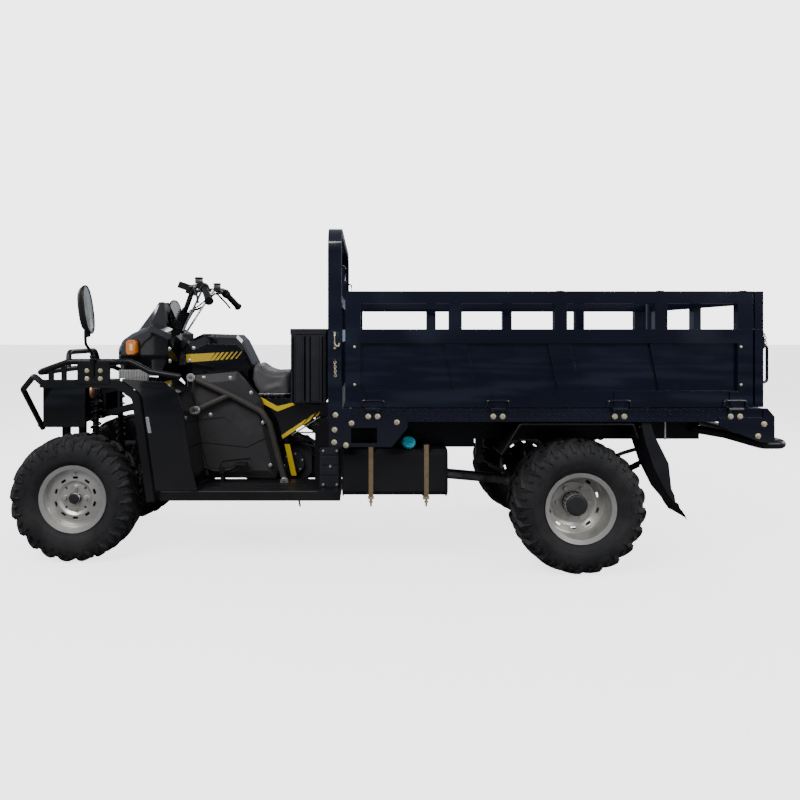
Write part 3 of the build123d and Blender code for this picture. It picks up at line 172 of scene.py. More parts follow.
def skin(rows, wrap_u=False, wrap_v=False, caps=False):
    """Grid surface: rows is an array (m, n, 3) and each face joins two neighbouring rows; wrap joins the
    last to the first, and caps closes the first and last row with one face each."""
    rows = np.asarray(rows, float)
    m, n = rows.shape[:2]
    i = np.arange(m if wrap_u else m - 1)[:, None]
    j = np.arange(n if wrap_v else n - 1)[None]
    a = i * n + j
    b = i * n + (j + 1) % n
    c = (i + 1) % m * n + (j + 1) % n
    d = (i + 1) % m * n + j
    faces = np.stack([a, b, c, d], axis=-1).reshape(-1, 4).tolist()
    if caps:
        faces.append(list(range(n))[::-1])
        faces.append([(m - 1) * n + k for k in range(n)])
    return Form(rows.reshape(-1, 3), faces)


def lathe(profile, count=48):
    """Surface of revolution about z: (r, z) becomes (r cos a, r sin a, z) for equal steps of a."""
    r, z = np.asarray(profile, float).T
    a = np.linspace(0, 2 * np.pi, count, endpoint=False)[:, None]
    rows = np.stack([r * np.cos(a), r * np.sin(a), np.broadcast_to(z, (count, len(r)))], axis=-1)
    return skin(rows, wrap_u=True)


def tube(path, radius, count=12, up=(0, 0, 1)):
    """Round skin along a path: at each point a circle lies in the plane square to the path, its two axes
    being the part of `up` square to the path and the cross product of the path with that."""
    path = np.asarray(path, float)
    along = np.gradient(path, axis=0)
    along /= np.linalg.norm(along, axis=1, keepdims=True)
    side = np.asarray(up, float) - (along @ np.asarray(up, float))[:, None] * along
    side /= np.linalg.norm(side, axis=1, keepdims=True)
    cross = np.cross(along, side)
    a = np.linspace(0, 2 * np.pi, count, endpoint=False)[None, :, None]
    radius = np.broadcast_to(np.asarray(radius, float), (len(path),))[:, None, None]
    rows = path[:, None] + radius * (np.cos(a) * side[:, None] + np.sin(a) * cross[:, None])
    return skin(rows, wrap_v=True, caps=True)


def slab(x, y, z):
    """Block between a low and a high value on each axis."""
    p = np.array([(a, b, c) for a in x for b in y for c in z])
    return Form(p, [[0, 1, 3, 2], [4, 6, 7, 5], [0, 4, 5, 1], [2, 3, 7, 6], [0, 2, 6, 4], [1, 5, 7, 3]])


def plate(outline, y):
    """Flat plate: an outline of (x, z) points, carried from the first to the second value of y."""
    o = np.asarray(outline, float)
    rows = np.stack([np.stack([o[:, 0], np.full(len(o), v), o[:, 1]], axis=-1) for v in y])
    return skin(rows, wrap_v=True, caps=True)


class Wire:
    """One socket of a material. Sums, products and the like of wires and numbers add Math nodes."""

    def __init__(self, tree, out=None):
        self.tree = tree
        self.out = out

    def node(self, kind, settings=None, sockets=None, give=0):
        """Adds a node: first its settings, then the values or wires of its sockets."""
        made = self.tree.nodes.new(kind)
        for key, value in (settings or {}).items():
            setattr(made, key, value)
        for key, value in (sockets or {}).items():
            if isinstance(value, Wire):
                self.tree.links.new(value.out, made.inputs[key])
            elif value is not None:
                made.inputs[key].default_value = value
        return Wire(self.tree, made.outputs[give])

    def maths(self, operation, a, b=None):
        sockets = {0: a} if b is None else {0: a, 1: b}
        return self.node("ShaderNodeMath", {"operation": operation}, sockets)

    def __add__(self, other):
        return self.maths("ADD", self, other)

    __radd__ = __add__

    def __sub__(self, other):
        return self.maths("SUBTRACT", self, other)

    def __rsub__(self, other):
        return self.maths("SUBTRACT", other, self)

    def __mul__(self, other):
        return self.maths("MULTIPLY", self, other)

    __rmul__ = __mul__

    def __gt__(self, other):
        return self.maths("GREATER_THAN", self, other)

    def sine(self):
        return self.maths("SINE", self)

    def axis(self, number):
        """x, y or z of a vector wire, as 0, 1 or 2."""
        return self.node("ShaderNodeSeparateXYZ", {}, {0: self}, give=number)

    def mix(self, first, second):
        """Colour between two, by this wire as the factor."""
        pair = {0: self, 6: (*first, 1) if isinstance(first, tuple) else first,
                7: (*second, 1) if isinstance(second, tuple) else second}
        return self.node("ShaderNodeMix", {"data_type": "RGBA"}, pair, give=2)

    def between(self, low, high):
        """0 below low, 1 above high, and an even rise between them."""
        return self.node("ShaderNodeMapRange", {}, {0: self, 1: low, 2: high, 3: 0.0, 4: 1.0})

    def noise(self, where, scale, detail=3.0, rough=0.5):
        return self.node("ShaderNodeTexNoise", {}, {"Vector": where, "Scale": scale, "Detail": detail,
                                                    "Roughness": rough})


def new_finish(name, **fixed):
    """A Principled material with its fixed sockets set, and a wire to hang nodes on."""
    made = bpy.data.materials.new(name)
    made.use_nodes = True
    shader = made.node_tree.nodes["Principled BSDF"]
    for key, value in fixed.items():
        socket = shader.inputs[key.replace("_", " ").title().replace("Ior", "IOR")]
        socket.default_value = (*value, 1) if isinstance(value, tuple) else value
    wire = Wire(made.node_tree)
    where = wire.node("ShaderNodeTexCoord", give=3)
    return made, shader, wire, where


def feed(wire, shader, **inputs):
    """Links wires to the shader's sockets; height becomes a Bump on Normal, `edge` rounds its normal."""
    for key, value in inputs.items():
        if key in ("height", "strength", "reach", "edge"):
            continue
        wire.tree.links.new(value.out, shader.inputs[key.replace("_", " ").title()])
    normal = None
    if "edge" in inputs:
        normal = wire.node("ShaderNodeBevel", {"samples": 3}, {"Radius": inputs["edge"]})
    if "height" in inputs:
        normal = wire.node("ShaderNodeBump", {}, {"Height": inputs["height"], "Normal": normal,
                                                  "Strength": inputs.get("strength", 0.3),
                                                  "Distance": inputs.get("reach", 0.001)})
    if normal:
        wire.tree.links.new(normal.out, shader.inputs["Normal"])


def dusty(wire, where, low=0.02, high=0.5):
    """Mask of road dust: most near the ground, in soft cloudy patches."""
    cloud = wire.noise(where, 6.0, 5.0, 0.6)
    return (1 - where.axis(2).between(low, high)) * cloud.between(0.35, 0.75)


tyre_rubber, shader, wire, where = new_finish("tyre_rubber", specular_ior_level=0.35)
grain = wire.noise(where, 900.0, 4.0, 0.7)
cloud = wire.noise(where, 11.0, 5.0, 0.65)
worn = cloud.between(0.38, 0.72) * 0.55
feed(wire, shader, base_color=worn.mix((0.008, 0.008, 0.0095), (0.040, 0.039, 0.038)),
     roughness=0.62 + cloud * 0.22, height=grain + cloud * 0.6, strength=0.35, reach=0.0008)

TYRE_R = 315.0
BEAD_R = 150.4
CROWN_R = 303.0
WHEELBASE = 2447.0
LUG_PAIRS = 20
GROUND_GAP = 0.2
# axle: station, half track, half tyre width, half rim width
AXLES = {"front": (0.0, 390.0, 100.0, 75.0), "rear": (WHEELBASE, 543.0, 125.0, 102.5)}
SIDES = {"left": -1, "right": 1}


def carcass(half, lip):
    """Round tyre body under the lugs: half a section of (r, z) points, smoothed and mirrored."""
    side = [(BEAD_R, lip - 13), (167.4, lip - 6.5), (172, lip - 2), (190, 0.9 * half), (214, 0.975 * half),
            (240, 0.985 * half), (266, 0.93 * half), (286, 0.82 * half), (297, 0.62 * half),
            (302, 0.3 * half)]
    line = catmull([(r, z, 0) for r, z in side] + [(CROWN_R, 0, 0)], 34)[:, :2]
    return np.vstack([line, (line * [1, -1])[-2::-1]])


def lug(path, width, height, foot):
    """Rubber block: a path of (angle, z) over the crown, with a foot a little wider than its top.
    Each point's foot lies on the body's radius and its top `height` above it, no higher than TYRE_R."""
    angle, z, r = np.asarray(path, float).T
    span = np.radians(angle)
    along = np.gradient(np.stack([span * TYRE_R, z], axis=-1), axis=0)
    along /= np.linalg.norm(along, axis=1, keepdims=True)
    rows = []
    section = ((0.5 + foot, -6.0), (0.5, 0.75), (0.42, 1.0), (-0.42, 1.0), (-0.5, 0.75), (-0.5 - foot, -6.0))
    for grow, lift in section:
        a = span + grow * width * along[:, 1] / TYRE_R
        zz = z - grow * width * along[:, 0]
        rr = np.minimum(r + (lift * height if lift > 0 else lift), TYRE_R - 0.15)
        rows.append(np.stack([rr * np.cos(a), rr * np.sin(a), zz], axis=-1))
    n = len(span)
    foot_faces = [[i, i + 1, n + i + 1, n + i] for i in range(n - 1)]
    return skin(np.stack(rows), caps=True) + Form(np.vstack([rows[0], rows[-1]]), foot_faces)


def tread(half, count):
    """Tread of one tyre: V-lugs from the middle to the shoulder on both sides, the left ones half a
    pitch on, and short blocks down the shoulder between them."""
    pitch = 360 / count
    line = np.linspace(0, 1, 7)
    z = 0.06 * half + line * 0.80 * half
    r = CROWN_R - 17 * line**2.6
    long = lug(np.stack([line**1.25 * pitch * 0.95, z, r], axis=-1), 21, 13, 0.16)
    down = np.linspace(0, 1, 5)
    block = lug(np.stack([pitch * 0.95 + down * 0.5, 0.84 * half + 0.12 * half * np.sin(down * 1.57),
                          287 - 38 * down], axis=-1), 26, 10, 0.12)
    short = lug(np.stack([pitch * 1.42 + down * 0.3, 0.70 * half + 0.27 * half * np.sin(down * 1.57),
                          294 - 34 * down], axis=-1), 17, 9, 0.12)
    bite = lug(np.stack([pitch * 0.62 + down * pitch * 0.25, 0.12 * half + down * 0.2 * half,
                         302 - 2 * down], axis=-1), 13, 11, 0.12)
    one = long + block + short + bite
    return one.ring(count) + one.flipped("z").ring(count, pitch / 2)


def side_rings(half):
    """Three fine moulded rings on each sidewall, each a thin torus."""
    t = np.linspace(0, 2 * np.pi, 7)
    made = joined(lathe(np.stack([radius + 1.6 * np.cos(t), z * half + 1.3 * np.sin(t) - 0.8], axis=-1), 72)
                  for radius, z in ((196, 0.925), (226, 0.99), (229.5, 0.99)))
    return made + made.flipped("z")


def on_wheel(form, axle, hand):
    """A form built about +z, laid on a wheel's centre with +z towards its outside."""
    station, half_track = AXLES[axle][:2]
    return form.turn("x", -90 * SIDES[hand]).move(station, SIDES[hand] * half_track, TYRE_R)


WHEELS = [(axle, hand, f"{axle}_{hand}") for axle in AXLES for hand in SIDES]
for axle, hand, place in WHEELS:
    half, lip = AXLES[axle][2:]
    tyre = lathe(carcass(half, lip), 80) + tread(half, LUG_PAIRS) + side_rings(half)
    tyre = on_wheel(tyre.flipped("x") if hand == "right" else tyre, axle, hand)
    tyre.points[:, 2] = np.maximum(tyre.points[:, 2], GROUND_GAP)
    tyre.piece(f"tread_{place}", tyre_rubber, f"wheel_{place}", "tyre_rubber", smooth=32,
               replaces=(f"tyre_{place}",), weld=False)

# Rims
# Pressed steel rims in silver stove paint, with dust in the wells. The CAD rims stay; a dark drum behind
# the windows, a valve, a bead of weld between disc and barrel, nut washers and black hub caps are added.

rim_silver, shader, wire, where = new_finish(
    "rim_silver", metallic=0.75, coat_weight=0.25, coat_roughness=0.2)
cloud = wire.noise(where, 9.0, 5.0, 0.6)
speck = wire.noise(where, 420.0, 2.0, 0.5)
grime = cloud.between(0.45, 0.8) * 0.6
feed(wire, shader, base_color=grime.mix((0.56, 0.545, 0.51), (0.27, 0.255, 0.235)),
     roughness=0.34 + grime * 0.3, height=speck, strength=0.08, reach=0.0004, edge=0.0012)

hub_black, shader, wire, where = new_finish("hub_black", base_color=(0.012, 0.012, 0.013))
cloud = wire.noise(where, 30.0, 4.0, 0.6)
feed(wire, shader, roughness=0.42 + cloud * 0.25, height=wire.noise(where, 600.0), strength=0.1, reach=0.0004)

bolt_zinc, shader, wire, where = new_finish("bolt_zinc", metallic=0.75)
cloud = wire.noise(where, 55.0, 3.0, 0.6)
feed(wire, shader, base_color=cloud.between(0.3, 0.75).mix((0.74, 0.68, 0.47), (0.46, 0.40, 0.27)),
     roughness=0.32 + cloud * 0.2)


def dome(radius, height, flat=0.55, count=28):
    """Cap that is flat out to `flat` of its radius and falls away as a quarter of a circle."""
    a = np.linspace(0, np.pi / 2, 7)
    r = radius * (flat + (1 - flat) * np.sin(a))
    z = height - (1 - flat) * radius * 0.6 * (1 - np.cos(a))
    return lathe(np.vstack([[0, height], np.stack([r, z], axis=-1), [radius, 0], [0, 0]]), count)


# axle: the disc's outer face, the cap's radius and length, the nuts' circle and their number
HUBS = {"front": (33.0, 27, 24, 52, 4), "rear": (-25.5, 53, 62, 78, 6)}
for axle, hand, place in WHEELS:
    disc, cap_r, cap_h, ring, nuts = HUBS[axle]
    a = np.linspace(0, 2 * np.pi, 9)
    torus = np.stack([BEAD_R - 4.5 + 3.2 * np.cos(a), disc + 4.5 + 3.2 * np.sin(a)], axis=-1)
    weld = lathe(torus, 90)
    valve = lathe([(0, 0), (4.2, 0), (4.2, 16), (3, 19), (3, 29), (4.4, 29.5), (4.4, 38), (0, 38.5)], 12)
    valve = valve.turn("x", 14).move(0, 128, disc - 4)
    washers = lathe([(7.2, 0), (11.5, 0), (12.5, 1.2), (11.5, 2.4), (7.2, 2.4)], 24).move(ring, 0, disc + 0.2)
    cap = dome(cap_r - 1.5, 6.5, 0.7).move(0, 0, disc - 1 + cap_h - 0.6)
    band = lathe([(cap_r + 0.2, 0), (cap_r + 2.4, 0.8), (cap_r + 2.4, 6), (cap_r + 0.2, 7)], 40)
    band = band.move(0, 0, disc + 6)
    groove = slab((cap_r - 0.6, cap_r + 0.9), (-1.6, 1.6), (disc + 13, disc + cap_h - 8)).ring(18)
    drum = lathe([(0, 0), (116, 0), (122, -5), (122, -30), (116, -34), (0, -34)], 60).move(0, 0, disc - 17)
    if axle == "front":
        groove += slab((61, 85), (-4.5, 4.5), (disc - 1, disc + 0.7)).ring(4, 45)
    for name, form, finish, slot in (("brake_drum", drum, hub_black, None),
                                     ("hub_cap", cap + band + groove, hub_black, None),
                                     ("rim_weld", weld + valve, rim_silver, "rim_silver"),
                                     ("rim_washers", washers.ring(nuts), bolt_zinc, None)):
        on_wheel(form, axle, hand).piece(f"{name}_{place}", finish, f"wheel_{place}", slot)

# Bed paint, frame paint, plastics
# The load bed is welded steel in a thick gloss navy black, over a slightly rippled sheet. Frame, axles
# and guards are powder coated or cast, and the covers are moulded plastic with a fine grain.


def inside(where, corners):
    """Mask of a convex field of (x, z) corners, anticlockwise: the product of its edges' half planes,
    where a point lies left of an edge if the cross product of the edge and the way to it is positive."""
    x, z = where.axis(0), where.axis(2)
    c = (np.asarray(corners, float) - [AXLE_TO_MIDDLE, 0]) / 1000
    mask = None
    for (ax, az), (bx, bz) in zip(c, np.roll(c, -1, axis=0)):
        left = (z * float(bx - ax) - x * float(bz - az)) > float(az * (bx - ax) - ax * (bz - az))
        mask = left if mask is None else mask * left
    return mask


def marked(where, base, marks):
    """Base colour with flat stripes over it; a stripe with a fade breaks into slanting lines towards
    the tail, between its two stations."""
    for corners, colour, fade in marks:
        mask = inside(where, corners)
        if fade:
            x, z = where.axis(0), where.axis(2)
            low, high = ((f - AXLE_TO_MIDDLE) / 1000 for f in fade)
            mask = mask * (((x - z * 0.8) * 260.0).sine() > (x.between(low, high) * 2.2 - 1.1))
        base = mask.mix(base, colour)
    return base


def paint(name, colour, haze, rough, ripple, coat=1.0, dirt=(0.09, 0.085, 0.08), edge=0.0025, dirt_share=0.35,
          marks=()):
    """Gloss paint: a base that clouds a little, a clear coat, orange peel, and dust low down."""
    made, shader, wire, where = new_finish(name, coat_roughness=0.04, specular_ior_level=0.2)
    broad = wire.noise(where, 1.7, 3.0, 0.5)
    peel = wire.noise(where, 210.0, 2.0, 0.5)
    film = wire.noise(where, 14.0, 6.0, 0.7)
    dirt_mask = dusty(wire, where) * dirt_share + film.between(0.62, 0.85) * 0.08
    base = dirt_mask.mix(marked(where, broad.between(0.3, 0.7).mix(colour, haze), marks), dirt)
    feed(wire, shader, base_color=base, roughness=rough + dirt_mask * 0.9 + film * 0.06,
         coat_weight=coat - dirt_mask * 1.4, height=broad * ripple + peel * 0.035, strength=0.35, reach=0.002,
         edge=edge)
    return made


bed_paint = paint("bed_paint", (0.0035, 0.004, 0.0105), (0.0055, 0.0065, 0.017), 0.13, 0.8, coat=0.9)
frame_black = paint("frame_black", (0.0055, 0.0055, 0.0065), (0.009, 0.009, 0.0105), 0.34, 0.2, coat=0.08)
GLOSS = dict(colour=(0.003, 0.003, 0.0036), haze=(0.005, 0.005, 0.006), rough=0.12, ripple=0.35, coat=0.9)
cowl_black = paint("cowl_black", **GLOSS, edge=0.004)
GOLD, YELLOW = (0.56, 0.39, 0.035), (0.78, 0.55, 0.02)
TANK_LINE = ((459, 974), (769, 998), (784, 1036), (467, 1019))
EDGE_LINE = ((1003, 574), (1204, 707), (1204, 730), (998, 594))
tank_black_gloss = paint("tank_black_gloss", **GLOSS, edge=0.004, marks=((TANK_LINE, GOLD, (600, 800)),))
fairing_black = paint("fairing_black", **GLOSS, edge=0.002, marks=((EDGE_LINE, YELLOW, (1090, 1260)),))


def moulding(name, colour, grain, rough, edge=0.003, spread=0.35, marks=()):
    """Grained plastic: tiny rounded pips from a Voronoi distance, with faint scuffs."""
    made, shader, wire, where = new_finish(name, specular_ior_level=0.2)
    pips = wire.node("ShaderNodeTexVoronoi", {"feature": "SMOOTH_F1"}, {"Vector": where, "Scale": grain})
    cloud = wire.noise(where, 7.0, 5.0, 0.6)
    scuff = cloud.between(0.5, 0.8) * spread + dusty(wire, where) * 0.4
    light = tuple(c * 2.1 + 0.01 for c in colour)
    feed(wire, shader, base_color=marked(where, scuff.mix(colour, light), marks),
         roughness=rough + scuff * 0.2, height=pips, strength=0.25, reach=0.0006, edge=edge)
    return made


panel_grey = moulding("panel_grey", (0.033, 0.0315, 0.033), 420.0, 0.52)
stripe_yellow = moulding("stripe_yellow", (0.74, 0.52, 0.02), 300.0, 0.35, edge=0.001, spread=0.1)
box_grey = moulding("box_grey", (0.020, 0.020, 0.026), 380.0, 0.5)
cast_grey = moulding("cast_grey", (0.022, 0.022, 0.025), 260.0, 0.5, edge=0.002)
flap_rubber = moulding("flap_rubber", (0.008, 0.008, 0.011), 300.0, 0.6, edge=0.0015)
mirror_black = moulding("mirror_black", (0.008, 0.008, 0.009), 350.0, 0.4)
tank_black = paint("tank_black", (0.006, 0.006, 0.007), (0.010, 0.010, 0.011), 0.4, 0.4, coat=0.08)
guard_grey = moulding("guard_grey", (0.046, 0.042, 0.038), 260.0, 0.42, edge=0.002)


def metal(name, colour, dull, rough, scale):
    """Bare or plated metal: patches of a duller tone, and roughness that follows them."""
    made, shader, wire, where = new_finish(name, metallic=0.9)
    cloud = wire.noise(where, scale, 5.0, 0.65)
    feed(wire, shader, base_color=cloud.between(0.35, 0.7).mix(colour, dull), roughness=rough + cloud * 0.25,
         height=wire.noise(where, scale * 20), strength=0.06, reach=0.0005, edge=0.0012)
    return made


bare_steel = metal("bare_steel", (0.30, 0.30, 0.31), (0.13, 0.125, 0.12), 0.3, 18.0)
strap_zinc = metal("strap_zinc", (0.52, 0.36, 0.21), (0.33, 0.235, 0.15), 0.28, 26.0)
silver_bolt = metal("silver_bolt", (0.66, 0.66, 0.66), (0.45, 0.45, 0.45), 0.25, 60.0)


def lens(name, colour, rough=0.08, ribs=0.0):
    """Coloured lens over a bright back: even colour, clear coat, and fine ribs along z."""
    made, shader, wire, where = new_finish(name, coat_weight=1.0, coat_roughness=0.02)
    wave = (where.axis(0) * ribs).sine()
    cloud = wire.noise(where, 40.0)
    feed(wire, shader, base_color=cloud.between(0.3, 0.7).mix(colour, tuple(c * 0.72 for c in colour)),
         roughness=rough + cloud * 0.05, height=wave, strength=0.4, reach=0.0008, edge=0.002)
    return made


amber_lens = lens("amber_lens", (0.86, 0.24, 0.012), ribs=900.0)
red_lens = lens("red_lens", (0.42, 0.012, 0.012), ribs=900.0)
clear_lens = lens("clear_lens", (0.62, 0.65, 0.68), 0.05, 700.0)
cap_turquoise = moulding("cap_turquoise", (0.035, 0.34, 0.44), 300.0, 0.35, edge=0.002, spread=0.1)

screen_dark, shader, wire, where = new_finish("screen_dark", coat_weight=1.0, coat_roughness=0.03, alpha=0.9)
cloud = wire.noise(where, 5.0)
feed(wire, shader, base_color=cloud.mix((0.006, 0.006, 0.008), (0.012, 0.012, 0.015)),
     roughness=0.06 + cloud * 0.06)

# by material slot; the plain seat is hidden under the pad, which has its own vinyl
NODE_FINISH = dict(
    bed_paint=bed_paint, frame_black=frame_black, cowl_black=cowl_black, panel_grey=panel_grey,
    box_grey=box_grey, tyre_rubber=tyre_rubber, flap_rubber=flap_rubber, rim_silver=rim_silver,
    bare_steel=bare_steel, cast_grey=cast_grey, strap_zinc=strap_zinc, cap_turquoise=cap_turquoise,
    amber_lens=amber_lens, red_lens=red_lens, clear_lens=clear_lens, screen_dark=screen_dark,
    seat_vinyl=panel_grey, mirror_black=mirror_black)
OWN_FINISH = {"fuel_tank": tank_black, "side_guards": guard_grey, "tank_cover": tank_black_gloss,
              "tail_fairings": fairing_black}
for part in frame["record"]["subparts"]:
    materials = nodes[part["node"]].data.materials
    materials.clear()
    materials.append(OWN_FINISH.get(part["node"], NODE_FINISH[part["material_slot"]]))

# Bed hardware
# Zinc bolts on the gussets, the skirt and the posts, loops over the hinges, the chequered tread band
# along the skirt, latch hooks with chains in front and pull handles at the tail; the left face is y -625.


def hex_bolt(head=19.0, high=8.0, washer=27.0):
    """Bolt along z: a washer, a six-sided head with a turned crown, and a shank into what it holds."""
    base = lathe([(0, -6), (head * 0.3, -6), (head * 0.3, 0), (washer / 2, 0), (washer / 2, 1.4),
                  (0, 1.4)], 20)
    r = head / 2 / np.cos(np.pi / 6)
    top = lathe([(0, 1.4), (r, 1.4), (r, high - 0.8), (r * 0.84, high), (0, high)], 6)
    return base + top


HINGE_XS = (1478, 2062, 2630, 3171)
BOLT_Y = -631
SIDE_BOLT = hex_bolt().turn("x", 90)
GUSSET_BOLTS = [(1298.5, 682), (1297, 623.5), (1378, 712.7), (1590, 717), (1352, 610),
                (3277, 652), (3306, 708)]
BAND_BOLTS = [(x + d, 744) for x in HINGE_XS for d in (-22, 22)]
bolts = SIDE_BOLT.at([(x, BOLT_Y, z) for x, z in GUSSET_BOLTS + BAND_BOLTS] + [(1302.7, -625, 750)])
bolts.both().piece("bed_bolts", bolt_zinc, smooth=25)

RIVET = dome(6.5, 3.2, 0.3, 16).turn("x", 90)
RIVETS = RIVET.at([(x, -625, z) for x in (3201, 1392) for z in (1069, 892)])
LOOP_LINE = bent_line([(-54, -627, 789), (-50, -632, 818), (50, -632, 818), (54, -627, 789)], 12)
LOOPS = tube(LOOP_LINE, 5.5, up=(0, 1, 0)).at([(x, 0, 0) for x in HINGE_XS])
# low caps where the rails' posts come through
POST_CAPS = dome(26, 5, 0.4, 18).scale(1, 0.8).at([(x, -607, 1328.5) for x in (2358, 2828, 3218)])
for hand in SIDES:
    body = f"drop_side_{hand}"
    for name, form, finish, smooth in (("rivets", RIVETS, bolt_zinc, 40),
                                       ("hinge_loops", LOOPS, bed_paint, 50),
                                       ("post_caps", POST_CAPS, bed_paint, 35)):
        own = form.right() if hand == "right" else form
        own.piece(f"{body}_{name}", finish, body, smooth=smooth, weld=name != "hinge_loops")

chequer = metal("chequer", (0.030, 0.031, 0.042), (0.018, 0.018, 0.026), 0.3, 30.0)
# lozenges of the tread band lie in two leanings, as on chequer plate, and leave out the bolts' places
BAND_START, BAND_END, BAND_LOW, PITCH_X, PITCH_Z = 1388, 3110, 728.5, 26.0, 21.5
lozenge = np.array([(-13, -624.6, 0), (0, -624.6, -3.4), (13, -624.6, 0), (0, -624.6, 3.4)])
top = lozenge * [0.6, 1, 0.5] - [0, 3, 0]
bar = skin([lozenge, top], wrap_v=True, caps=True)
cells = [(i, k) for k in range(3) for i in range(int((BAND_END - BAND_START) / PITCH_X) + 1)
         if k != 1 or min(abs(BAND_START + i * PITCH_X - x) for x, _ in BAND_BOLTS) > 24]
for_lean = {0: [], 1: []}
for i, k in cells:
    for_lean[(i + k) % 2].append((BAND_START + i * PITCH_X, 0, BAND_LOW + k * PITCH_Z))
(bar.turn("y", 45).at(for_lean[0]) + bar.turn("y", -45).at(for_lean[1])).both().piece(
    "chequer_band", chequer, smooth=20, weld=False)


def chain(start, end, links, wire=2.2):
    """Links along a straight line: each is an oval ring, (0.62 pitch sin a, 5.2 cos a), skinned with a
    round wire, and every other one is turned a quarter round the line."""
    t = (np.arange(links) + 0.5) / links
    line = np.outer(1 - t, start) + np.outer(t, end)
    pitch = np.linalg.norm(np.subtract(end, start)) / links
    a = np.linspace(0, 2 * np.pi, 14, endpoint=False)
    oval = np.stack([0.62 * pitch * np.sin(a), 5.2 * np.cos(a), 0 * a], axis=-1)
    b = np.linspace(0, 2 * np.pi, 6, endpoint=False)[None, :, None]
    out = np.stack([np.sin(a), np.cos(a), 0 * a], axis=-1)[:, None]
    link = skin(oval[:, None] + wire * (np.cos(b) * out + np.sin(b) * np.array([0, 0, 1.0])), True, True)
    x, y, z = np.subtract(end, start)
    dip, bearing = np.degrees(np.arctan2(-z, np.hypot(x, y))), np.degrees(np.arctan2(y, x))
    return joined(link.turn("x", 90 * (k % 2)).turn("y", dip).turn("z", bearing).move(*place)
                  for k, place in enumerate(line))


hook_plate = plate([(1286, 1052), (1314, 1052), (1316, 1058), (1316, 1140), (1308, 1146), (1292, 1146),
                    (1284, 1140), (1284, 1058)], (-624.5, -629))
hook = tube(bent_line([(1300, -629, 1128), (1300, -645, 1128), (1300, -645, 1078), (1318, -640, 1070),
                       (1322, -640, 1088)], 7), 4)
eye = tube(bent_line([(1301, -626, 1012), (1301, -642, 1012), (1301, -642, 1000), (1301, -626, 1000)], 5), 3)
(hook_plate + eye).both().piece("latch_plates", bed_paint, smooth=30, bevel=0.8)
hook_bolts = hex_bolt(10, 4, 13).turn("x", 90).at([(1300, -629, 1134), (1300, -629, 1064)])
(hook + chain((1301, -642, 1002), (1303, -634, 930), 7) + hook_bolts).both().piece(
    "latch_chains", bolt_zinc, smooth=40, weld=False)

light_hook = tube(bent_line([(1326, -596, 1452), (1348, -596, 1444), (1348, -596, 1372), (1338, -596, 1352),
                             (1326, -596, 1356)], 8), 4.5)
light_hook.both().piece("hoop_hooks", bed_paint, smooth=50)

# pull handles, toggles and short chains at the tailgate's ends
grab = tube(bent_line([(3305, -585, 1084), (3346, -585, 1072), (3346, -585, 905), (3305, -585, 893)], 12),
            6.5, up=(0, 1, 0))
toggle = slab((3309, 3324), (-598, -572), (1092, 1142)) + slab((3320, 3332), (-592, -578), (1060, 1112))
pin = lathe([(0, -8), (5, -8), (5, 30), (0, 31)], 12).turn("y", 90).move(3306, -585, 1130)
(grab + toggle).both().piece("tail_pulls", bed_paint, "tailgate", smooth=40, bevel=0.6, weld=False)
(pin + chain((3336, -585, 1128), (3342, -587, 1072), 5, 2.0)).both().piece(
    "tail_chains", bolt_zinc, "tailgate", smooth=40, weld=False)

# Cockpit
# Ribbed rubber grips, switch boxes, fluid reservoirs and cables on the handlebar; a rubber bellows on
# the column; mirrors in black shells on bent stems, their glass part mirror and part a painted pale
# grey-green reflection; screws and bolts round the covers.


def ringed(start, end, radius, rings, low=0.9, ends=1.25):
    """Grip between two points: a cylinder whose radius follows a rectified cosine, with end flanges."""
    start, end = np.asarray(start, float), np.asarray(end, float)
    s = np.linspace(0, 1, rings * 6 + 1)
    r = radius * (low + (1 - low) * np.abs(np.cos(np.pi * rings * s)))
    r[:3] = radius * ends
    r[-5:] = radius * ends
    path = start + s[:, None] * (end - start)
    return tube(path, r, 24, up=(0, 0.2, 1))


def along(start, end, form):
    """A form built about +Z from 0, laid along the line from start towards end."""
    z = np.subtract(end, start) / np.linalg.norm(np.subtract(end, start))
    x = np.cross((0.0, 1.0, 0.0), z)
    x /= np.linalg.norm(x)
    turned = Form(form.points @ np.stack([x, np.cross(z, x), z]), form.faces)
    return turned.move(*start)


GRIP_IN, GRIP_OUT = np.array([606, -272, 1362.8]), np.array([653, -379, 1295.5])
grip = ringed(GRIP_IN, GRIP_OUT + (GRIP_OUT - GRIP_IN) * 0.02, 18.2, 16)
grip.both().piece("grip_rubber", flap_rubber, "steering", smooth=60)
BAR_DIR = GRIP_OUT - GRIP_IN
switch = along(GRIP_IN - BAR_DIR * 0.2, GRIP_OUT,
               lathe([(0, 0), (22, 0), (25, 4), (25, 24), (22, 28), (0, 28)], 22))
pocket = slab((560, 592), (-268, -238), (1366, 1402))
button = lathe([(0, 0), (6, 0), (6, 6), (4, 8), (0, 8)], 14).turn("x", 100).move(582, -266, 1384)
(switch + pocket).both().piece("switch_boxes", mirror_black, "steering", smooth=40, bevel=4, weld=False)
RESERVOIR = (560, -214, 1396)
reservoir = lathe([(0, 0), (19, 0), (21, 3), (21, 20), (16, 24), (0, 24)], 24).move(*RESERVOIR)
cap = lathe([(0, 24), (22.5, 24), (22.5, 31), (20, 33), (0, 33)], 24).move(*RESERVOIR)
clamp_ring = along((572, -212, 1378), (582, -228, 1382), lathe([(0, 0), (16, 0), (16, 18), (0, 18)], 18))
(reservoir + clamp_ring).both().piece("reservoirs", bare_steel, "steering", smooth=40)
(cap + button).both().piece("reservoir_caps", mirror_black, "steering", smooth=40)
perch = tube(bent_line([(588, -240, 1386), (556, -256, 1376), (549, -262, 1369)], 10), 9, up=(0, 0, 1))
